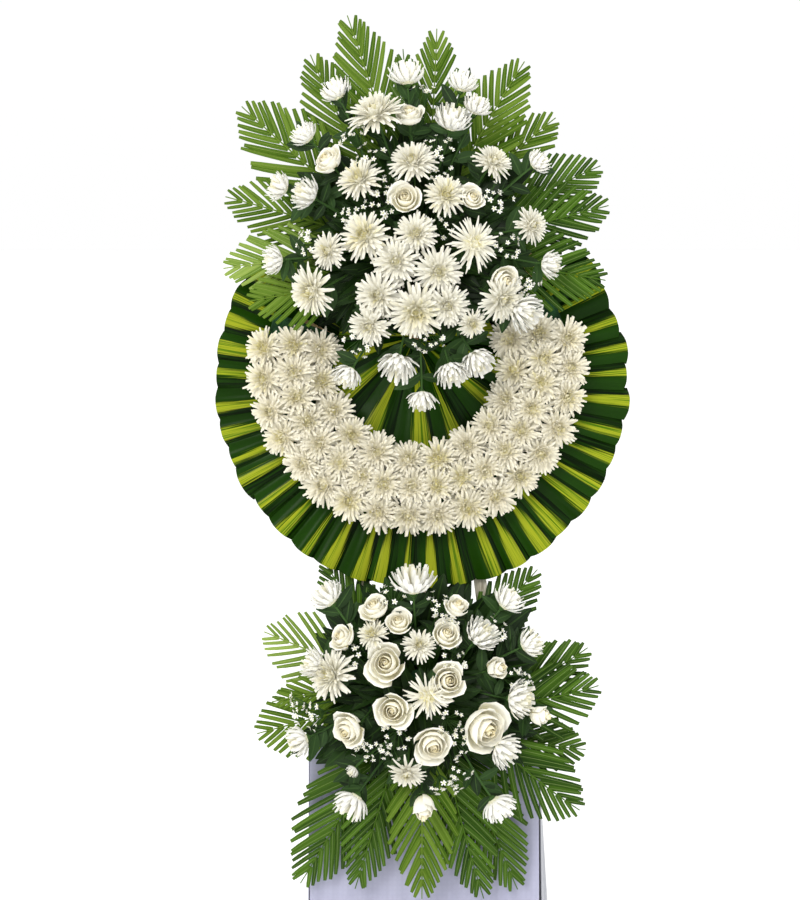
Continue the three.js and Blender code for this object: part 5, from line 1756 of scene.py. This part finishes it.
@dataclass
class Horseshoe:
    """The dense ring of chrysanthemum heads on its foam, in bunches side by side."""

    centre: Array = field(default_factory=RING_MIDDLE.copy)
    foam_depth: float = 40.0
    bunches: int = 3
    head_radius: float = 36.0
    rows: tuple[HeadRow, ...] = (
        HeadRow(181, 66, 287, 12, 2, -14),
        HeadRow(232, 70, 284, 18, 11, 0),
        HeadRow(283, 74.5, 281, 18, 2, 16),
    )

    def build(self, shop: Workshop) -> None:
        """Build the bunches of heads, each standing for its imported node.

        Args:
            shop: Workshop that makes and fastens the pieces.
        """
        for index in range(self.bunches):
            rng = np.random.default_rng(300 + index)
            draft = Draft()
            for row in self.rows:
                self.grow_row(draft, row, index, rng)
            node = f"ring_mums_{index + 1}"
            shop.deliver(draft, f"{node}_heads", (node,))

    def grow_row(self, draft: Draft, row: HeadRow, index: int, rng: np.random.Generator) -> None:
        """Add one bunch's heads of a row, on short stalks in the foam.

        Args:
            draft: Draft of the piece.
            row: The row of heads.
            index: Number of the bunch, from 0.
            rng: Seeded source of its irregularity.
        """
        per_bunch = row.heads // self.bunches
        step = (row.end - row.start) / row.heads
        for number in range(per_bunch):
            ray = clock(row.start + (index * per_bunch + number + 0.5) * step + rng.uniform(-0.6, 0.6))
            centre = self.centre + ray * (row.radius + rng.uniform(-3, 3))
            centre[1] = -(self.foam_depth + 15 + row.rise + rng.uniform(-2, 3))
            lean = math.radians(row.lean + rng.uniform(-7, 7))
            facing = unit(ray * math.sin(lean) + FORWARD * math.cos(lean))
            seat = Seat(centre, turned(facing, rng.uniform(*ANY_TURN)),
                        self.head_radius * rng.uniform(0.95, 1.07))
            RING_MUM.grow(draft, seat, rng)
            foot = centre * [1, 0, 1] + FORWARD * (self.foam_depth - 12)
            path = np.linspace(foot, centre - facing * seat.radius * 0.2, 4)
            draft.add_stalk(path, np.full(4, 2.2), 0.4, STEM_SKIN)


@dataclass
class LeafFan:
    """Folded striped leaves laid side by side round a point, each overlapping the next."""

    centre: Array
    start: float
    pitch: float
    leaves: int
    inner: float
    outer: float
    scallop: float
    rise: tuple[float, float]
    seed: int
    overlap: float = 0.2
    bed: float = 1.6
    limit: Callable[[Array], Array] | None = None
    rows: int = 10
    columns: int = 11

    def grow(self, draft: Draft) -> None:
        """Add the fan's leaves to a draft.

        Args:
            draft: Draft of the piece.
        """
        rng = np.random.default_rng(self.seed)
        across = np.linspace(-1, 1, self.columns)
        shares = np.linspace(0, 1, self.rows)
        middle = self.start + (np.arange(self.leaves) + 0.5) * self.pitch
        middle = middle + rng.normal(0, 0.05, self.leaves) * self.pitch
        half = self.pitch / 2 * (1 + self.overlap) * rng.uniform(0.94, 1.08, self.leaves)
        angle = middle[:, None] + half[:, None] * across
        ray = clock(angle)
        far = self.outer - self.scallop * np.abs(across) ** 2.4 + rng.uniform(-4, 4, (self.leaves, 1))
        if self.limit is not None:
            far = np.minimum(far, self.limit(ray))
        distance = self.inner + (far - self.inner)[:, None] * shares[:, None]
        crest = 1 - smooth(0.30, 1.0, np.abs(across))
        wobble = rng.uniform(0.75, 1.15, (self.leaves, 1, 1))
        rise = self.rise[0] + (self.rise[1] - self.rise[0]) * shares
        height = self.bed + wobble * rise[None, :, None] * crest + 1.3 * (1 + across)
        ripple = np.sin(2 * np.pi * shares + middle[:, None])[..., None]
        height = height + 0.8 * ripple * crest
        front = self.centre + ray[:, None] * distance[..., None] + FORWARD * height[..., None]
        draft.add_sheets(front, 1.0, across, rng.uniform(0, 1, self.leaves), DRACAENA)


@dataclass
class LeafPanel:
    """The collar of striped leaves outside the horseshoe and the leaves that close its middle."""

    disc: Array = field(default_factory=DISC_MIDDLE.copy)
    ring: Array = field(default_factory=RING_MIDDLE.copy)
    fan: Array = field(default_factory=lambda: np.array([-13.0, 0.0, 1184.0]))
    ring_inner: float = 159.0
    fan_top: float = 1257.0

    def to_ring(self, ray: Array) -> Array:
        """Find how far the leaves of the middle may run before they meet the ring or spray.

        Args:
            ray: (..., 3) directions on the board.

        Returns:
            Distances from the fan's middle, in mm.
        """
        off = self.fan - self.ring
        along = ray @ off
        to_ring = -along + np.sqrt(along ** 2 - off @ off + self.ring_inner ** 2)
        height = self.fan_top - self.fan[2]
        return np.minimum(to_ring, np.where(ray[..., 2] > 0.05, height / np.maximum(ray[..., 2], 0.05), 999))

    def build(self, shop: Workshop) -> None:
        """Build the four parts of the collar, the leaves at its shoulders and the middle leaves.

        Args:
            shop: Workshop that makes and fastens the pieces.
        """
        for index in range(4):
            draft = Draft()
            LeafFan(self.disc, 52 + index * 64, 8, 8, 262, 391, 5, (6, 12), 400 + index).grow(draft)
            node = f"collar_leaves_{index + 1}"
            shop.deliver(draft, f"{node}_striped", (node,))
        draft = Draft()
        LeafFan(self.disc, 299.5, 6.8, 3, 180, 276, 0, (1, 4), 421).grow(draft)
        LeafFan(self.disc, 39.5, 6.2, 2, 180, 276, 0, (1, 4), 422).grow(draft)
        shop.deliver(draft, "shoulder_leaves_striped")
        draft = Draft()
        LeafFan(self.fan, 0, 24, 15, 8, 999, 0, (2, 10), 410, 0.15, limit=self.to_ring).grow(draft)
        shop.deliver(draft, "centre_leaves_striped", ("centre_leaves",))


# The stand


@dataclass
class Skirt:
    """The cloth skirt: a front panel and two sides that close back to the rear leg, in soft folds."""

    left: float = -213.0
    right: float = 222.0
    rail_top: float = 415.0
    rail_foot: float = 381.0
    rail_front: float = 3.3
    leg_front: float = -9.0
    hem: float = 8.0
    hem_band: float = 20.0
    thickness: float = 1.3
    leg_side: float = 24.0
    rear_foot: float = 430.0
    rear_top: float = 163.0
    rear_height: float = 1425.0
    rows: int = 44
    columns: int = 88

    def back_line(self, board: Board, levels: Array) -> Array:
        """Find how far back the front panel hangs: over the rail, then down the legs.

        Args:
            board: The board's axes.
            levels: Heights above the floor in mm.

        Returns:
            Distances back from the board's foot, in mm.
        """
        on_rail = board.back_at(levels, self.rail_front)
        drop = self.rail_foot * math.cos(board.lean)
        hanging = board.back_at(drop, self.rail_front)
        on_legs = board.back_at(levels, self.leg_front)
        return np.where(levels > drop, on_rail, np.minimum(hanging, on_legs))

    def folds(self, along: Array, down: Array, depth: float, waves: float, phase: float) -> Array:
        """Return how far the cloth stands out in its folds, which deepen and wander downwards.

        Args:
            along: Share across the panel.
            down: Share down the panel.
            depth: Depth of the folds at the hem, in mm.
            waves: How many folds there are.
            phase: Where they start.

        Returns:
            Distances in mm, none below zero.
        """
        drift = 0.35 * np.sin(down * 2.2 + phase)
        main = np.sin(2 * np.pi * (waves * along + drift) + phase)
        fine = 0.4 * np.sin(2 * np.pi * (2.7 * waves * along - 0.5 * drift) + 2.1 * phase)
        return depth * (0.15 + 0.85 * down) * (1.4 + main + fine) / 2.8

    def panel(self, shop: Workshop, front: Array, name: str, node: str, finish: Finish) -> None:
        """Args:
            shop: Workshop that makes and fastens the pieces.
            front: (rows, columns, 3) outer face in mm, set out level.
            name: The piece's name.
            node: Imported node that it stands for.
            finish: What it is finished in.
        """
        draft = Draft()
        across = np.linspace(-1, 1, front.shape[1])
        draft.add_sheets(front[None], self.thickness, across, np.array([0.5]), finish)
        piece = shop.deliver(draft, name, (node,), level=True)

    def build(self, shop: Workshop) -> None:
        """Build the three panels.

        Args:
            shop: Workshop that makes and fastens the pieces.
        """
        board = shop.board
        top = self.rail_top * math.cos(board.lean)
        levels = np.linspace(top, self.hem, self.rows)
        down = ((top - levels) / (top - self.hem))[:, None]
        along = np.linspace(0, 1, self.columns)[None]
        x = self.left + (self.right - self.left) * along + 0 * down
        fold = self.folds(along, down, 11.0, 5.0, 0.6) + 1.2 * (levels < self.hem + self.hem_band)[:, None]
        y = self.back_line(board, levels)[:, None] - self.thickness - fold
        front = np.stack([x, y, levels[:, None] + 0 * along], axis=-1)
        self.panel(shop, front, "skirt_front_cloth", "skirt_front", LAVENDER)
        # The right side panel takes the grey copy of the cloth, which paints the shade that it stands in
        for side, name, finish, slot in ((-1, "left", LAVENDER, "skirt_lavender"),
                                         (1, "right", SHADED_SIDE_TAFFETA, "skirt_grey")):
            sheet = self.side_grid(board, side, levels, down)
            self.panel(shop, sheet, f"skirt_{name}_cloth", f"skirt_{name}", finish)

    def side_grid(self, board: Board, side: int, levels: Array, down: Array) -> Array:
        """Lay out the outer face of one side panel, from the front edge round to the rear leg.

        Args:
            board: The board's axes.
            side: -1 for the left panel and 1 for the right one.
            levels: Heights of the rows in mm.
            down: Share down the panel of each row.

        Returns:
            The (rows, columns, 3) face in mm, set out level.
        """
        share = levels / self.rear_height
        rear = self.rear_foot + (self.rear_top - self.rear_foot) * share
        edge = self.left if side < 0 else self.right
        flare = down[:, 0] * (20 if side > 0 else 6)
        start = np.stack([edge + side * (1.0 + 0.3 * flare), self.back_line(board, levels) + 0.6,
                          levels], axis=-1)
        corner = start + np.stack([side * flare, np.full(self.rows, 44.0), 0 * levels], axis=-1)
        leg = side * (self.leg_side / 2 + 1.8)
        end = np.stack([np.full(self.rows, leg), rear - self.leg_side / 2, levels], axis=-1)
        close = end + [0, self.leg_side - 2, 0]
        stops = np.stack([start, corner, end, close], axis=1)
        pieces = []
        for first, steps in ((0, 10), (1, 64), (2, 5)):
            t = np.linspace(0, 1, steps, endpoint=first == 2)[None, :, None]
            pieces.append(stops[:, first:first + 1] * (1 - t) + stops[:, first + 1:first + 2] * t)
        grid = np.concatenate(pieces, axis=1)
        along = np.linspace(0, 1, grid.shape[1])[None]
        ends = smooth(0.0, 0.12, along) * (1 - smooth(0.86, 0.93, along))
        outwards = unit(np.cross(end - corner, [0, 0, -1.0 * side]))
        fold = self.folds(along, down, 12.0, 5.0, 1.9 + side) * ends
        bulge = 8 * down * np.sin(np.pi * np.clip(along, 0, 1)) * ends
        grid = grid + outwards[:, None] * (fold + bulge)[..., None]
        return grid if side > 0 else grid[:, ::-1]


@dataclass
class Stand:
    """The easel, board, shelf and foam blocks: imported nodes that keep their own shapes."""

    timber: tuple[str, ...] = ("easel_leg_left", "easel_leg_right", "easel_leg_rear",
                               "easel_head_block", "skirt_rail")
    sheet: tuple[str, ...] = ("backing_board", "foam_shelf")
    blocks: tuple[str, ...] = ("ring_foam", "upper_foam", "lower_foam")

    def dress(self, shop: Workshop) -> None:
        """Give each node its finish and eased edges.

        Args:
            shop: Workshop that makes and fastens the pieces.
        """
        for node in self.timber:
            shop.dress_node(node, WHITEWASH, 1.6)
        for node in self.sheet:
            shop.dress_node(node, PLYWOOD, 0.8)
        for node in self.blocks:
            shop.dress_node(node, FOAM, 1.5)


# The studio


@dataclass
class Softbox:
    """One large soft light: where it stands, where it looks, its size in metres and power in watts."""

    place: tuple[float, float, float]
    target: tuple[float, float, float]
    size: float
    power: float
    colour: str


@dataclass
class Studio:
    """A pale floor, soft light and a camera square to the board, as the photograph was taken."""

    floor_size: float = 120.0
    sky: float = 1.0
    front_sky: float = 0.55
    overhead: float = 0.9
    lights: tuple[Softbox, ...] = (
        Softbox((-1.6, -3.5, 3.1), (0, 0, 0.9), 1.8, 92, "#fffdf8"),
        Softbox((2.8, -2.6, 2.2), (0, 0, 0.9), 2.4, 20, "#f6f9ff"),
    )

    def build(self, shop: Workshop) -> None:
        """Set up floor, sky, lights and camera.

        Args:
            shop: Workshop that makes and fastens the pieces.
        """
        scene = bpy.context.scene
        scene.view_settings.view_transform = "Standard"
        half = self.floor_size / 2
        mesh = bpy.data.meshes.new("floor")
        mesh.from_pydata([(-half, -half, 0), (half, -half, 0), (half, half, 0), (-half, half, 0)],
                         [], [(0, 1, 2, 3)])
        mesh.materials.append(shop.palette.get(FLOOR))
        floor = bpy.data.objects.new("floor", mesh)
        scene.collection.objects.link(floor)
        world = bpy.data.worlds.new("studio_sky")
        self.light_sky(Shader(world))
        scene.world = world
        for number, box in enumerate(self.lights):
            self.hang_light(f"softbox_{number + 1}", box)
        self.set_camera(shop.board)

    def light_sky(self, shader: Shader) -> None:
        """Make a white backdrop that dims towards the camera's side, under a brighter ceiling.

        Args:
            shader: Node tree of the sky.
        """
        where = shader.add("ShaderNodeTexCoord").outputs["Generated"]
        parts = shader.add("ShaderNodeSeparateXYZ", {0: where})
        fade = shader.add("ShaderNodeMapRange", {
            "Value": parts.outputs[1], "From Min": -0.6, "From Max": 0.1,
            "To Min": self.front_sky, "To Max": self.sky})
        height = parts.outputs[2]
        squared = shader.add("ShaderNodeMath", {0: height, 1: height}, operation="MULTIPLY").outputs[0]
        ceiling = shader.add("ShaderNodeMath", {0: squared, 1: self.overhead, 2: 1.0},
                             operation="MULTIPLY_ADD").outputs[0]
        strength = shader.add("ShaderNodeMath", {0: fade.outputs[0], 1: ceiling}, operation="MULTIPLY")
        sky = shader.add("ShaderNodeBackground", {
            "Color": linear("#ffffff"), "Strength": strength.outputs[0]})
        shader.add("ShaderNodeOutputWorld", {"Surface": sky.outputs[0]})

    def hang_light(self, name: str, box: Softbox) -> None:
        """Add one square soft light that looks at its target.

        Args:
            name: Name of the light.
            box: Its place, target, size, power and colour.
        """
        data = bpy.data.lights.new(name, "AREA")
        data.size = box.size
        data.energy = box.power
        data.color = linear(box.colour)[:3]
        light = bpy.data.objects.new(name, data)
        light.location = box.place
        away = np.array(box.place) - np.array(box.target)
        light.rotation_euler = Vector(away).to_track_quat("Z", "Y").to_euler()
        bpy.context.scene.collection.objects.link(light)

    def set_camera(self, board: Board) -> None:
        """Stand the camera square to the board, at the photograph's viewpoint.

        Args:
            board: The board's axes.
        """
        data = bpy.data.cameras.new("camera")
        data.lens = data.sensor_width * VIEW_DISTANCE / (PHOTO_ROWS * MM_PER_PIXEL)
        camera = bpy.data.objects.new("camera", data)
        camera.location = board.to_row(np.array([VIEW_X, -VIEW_DISTANCE, VIEW_HEIGHT]))
        camera.rotation_euler = (math.pi / 2 - board.lean, 0, 0)
        bpy.context.scene.collection.objects.link(camera)
        bpy.context.scene.camera = camera


def write_sizes() -> None:
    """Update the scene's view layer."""
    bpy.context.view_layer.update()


def main() -> None:
    """Build the wreath from the stand up, then the studio round it."""
    logging.basicConfig(level=logging.INFO, format="%(name)s: %(message)s")
    shop = Workshop()
    Stand().dress(shop)
    Skirt().build(shop)
    LeafPanel().build(shop)
    Horseshoe().build(shop)
    UPPER_SPRAY.build(shop)
    LOWER_SPRAY.build(shop)
    Studio().build(shop)
    write_sizes()


if __name__ == "__main__":
    main()
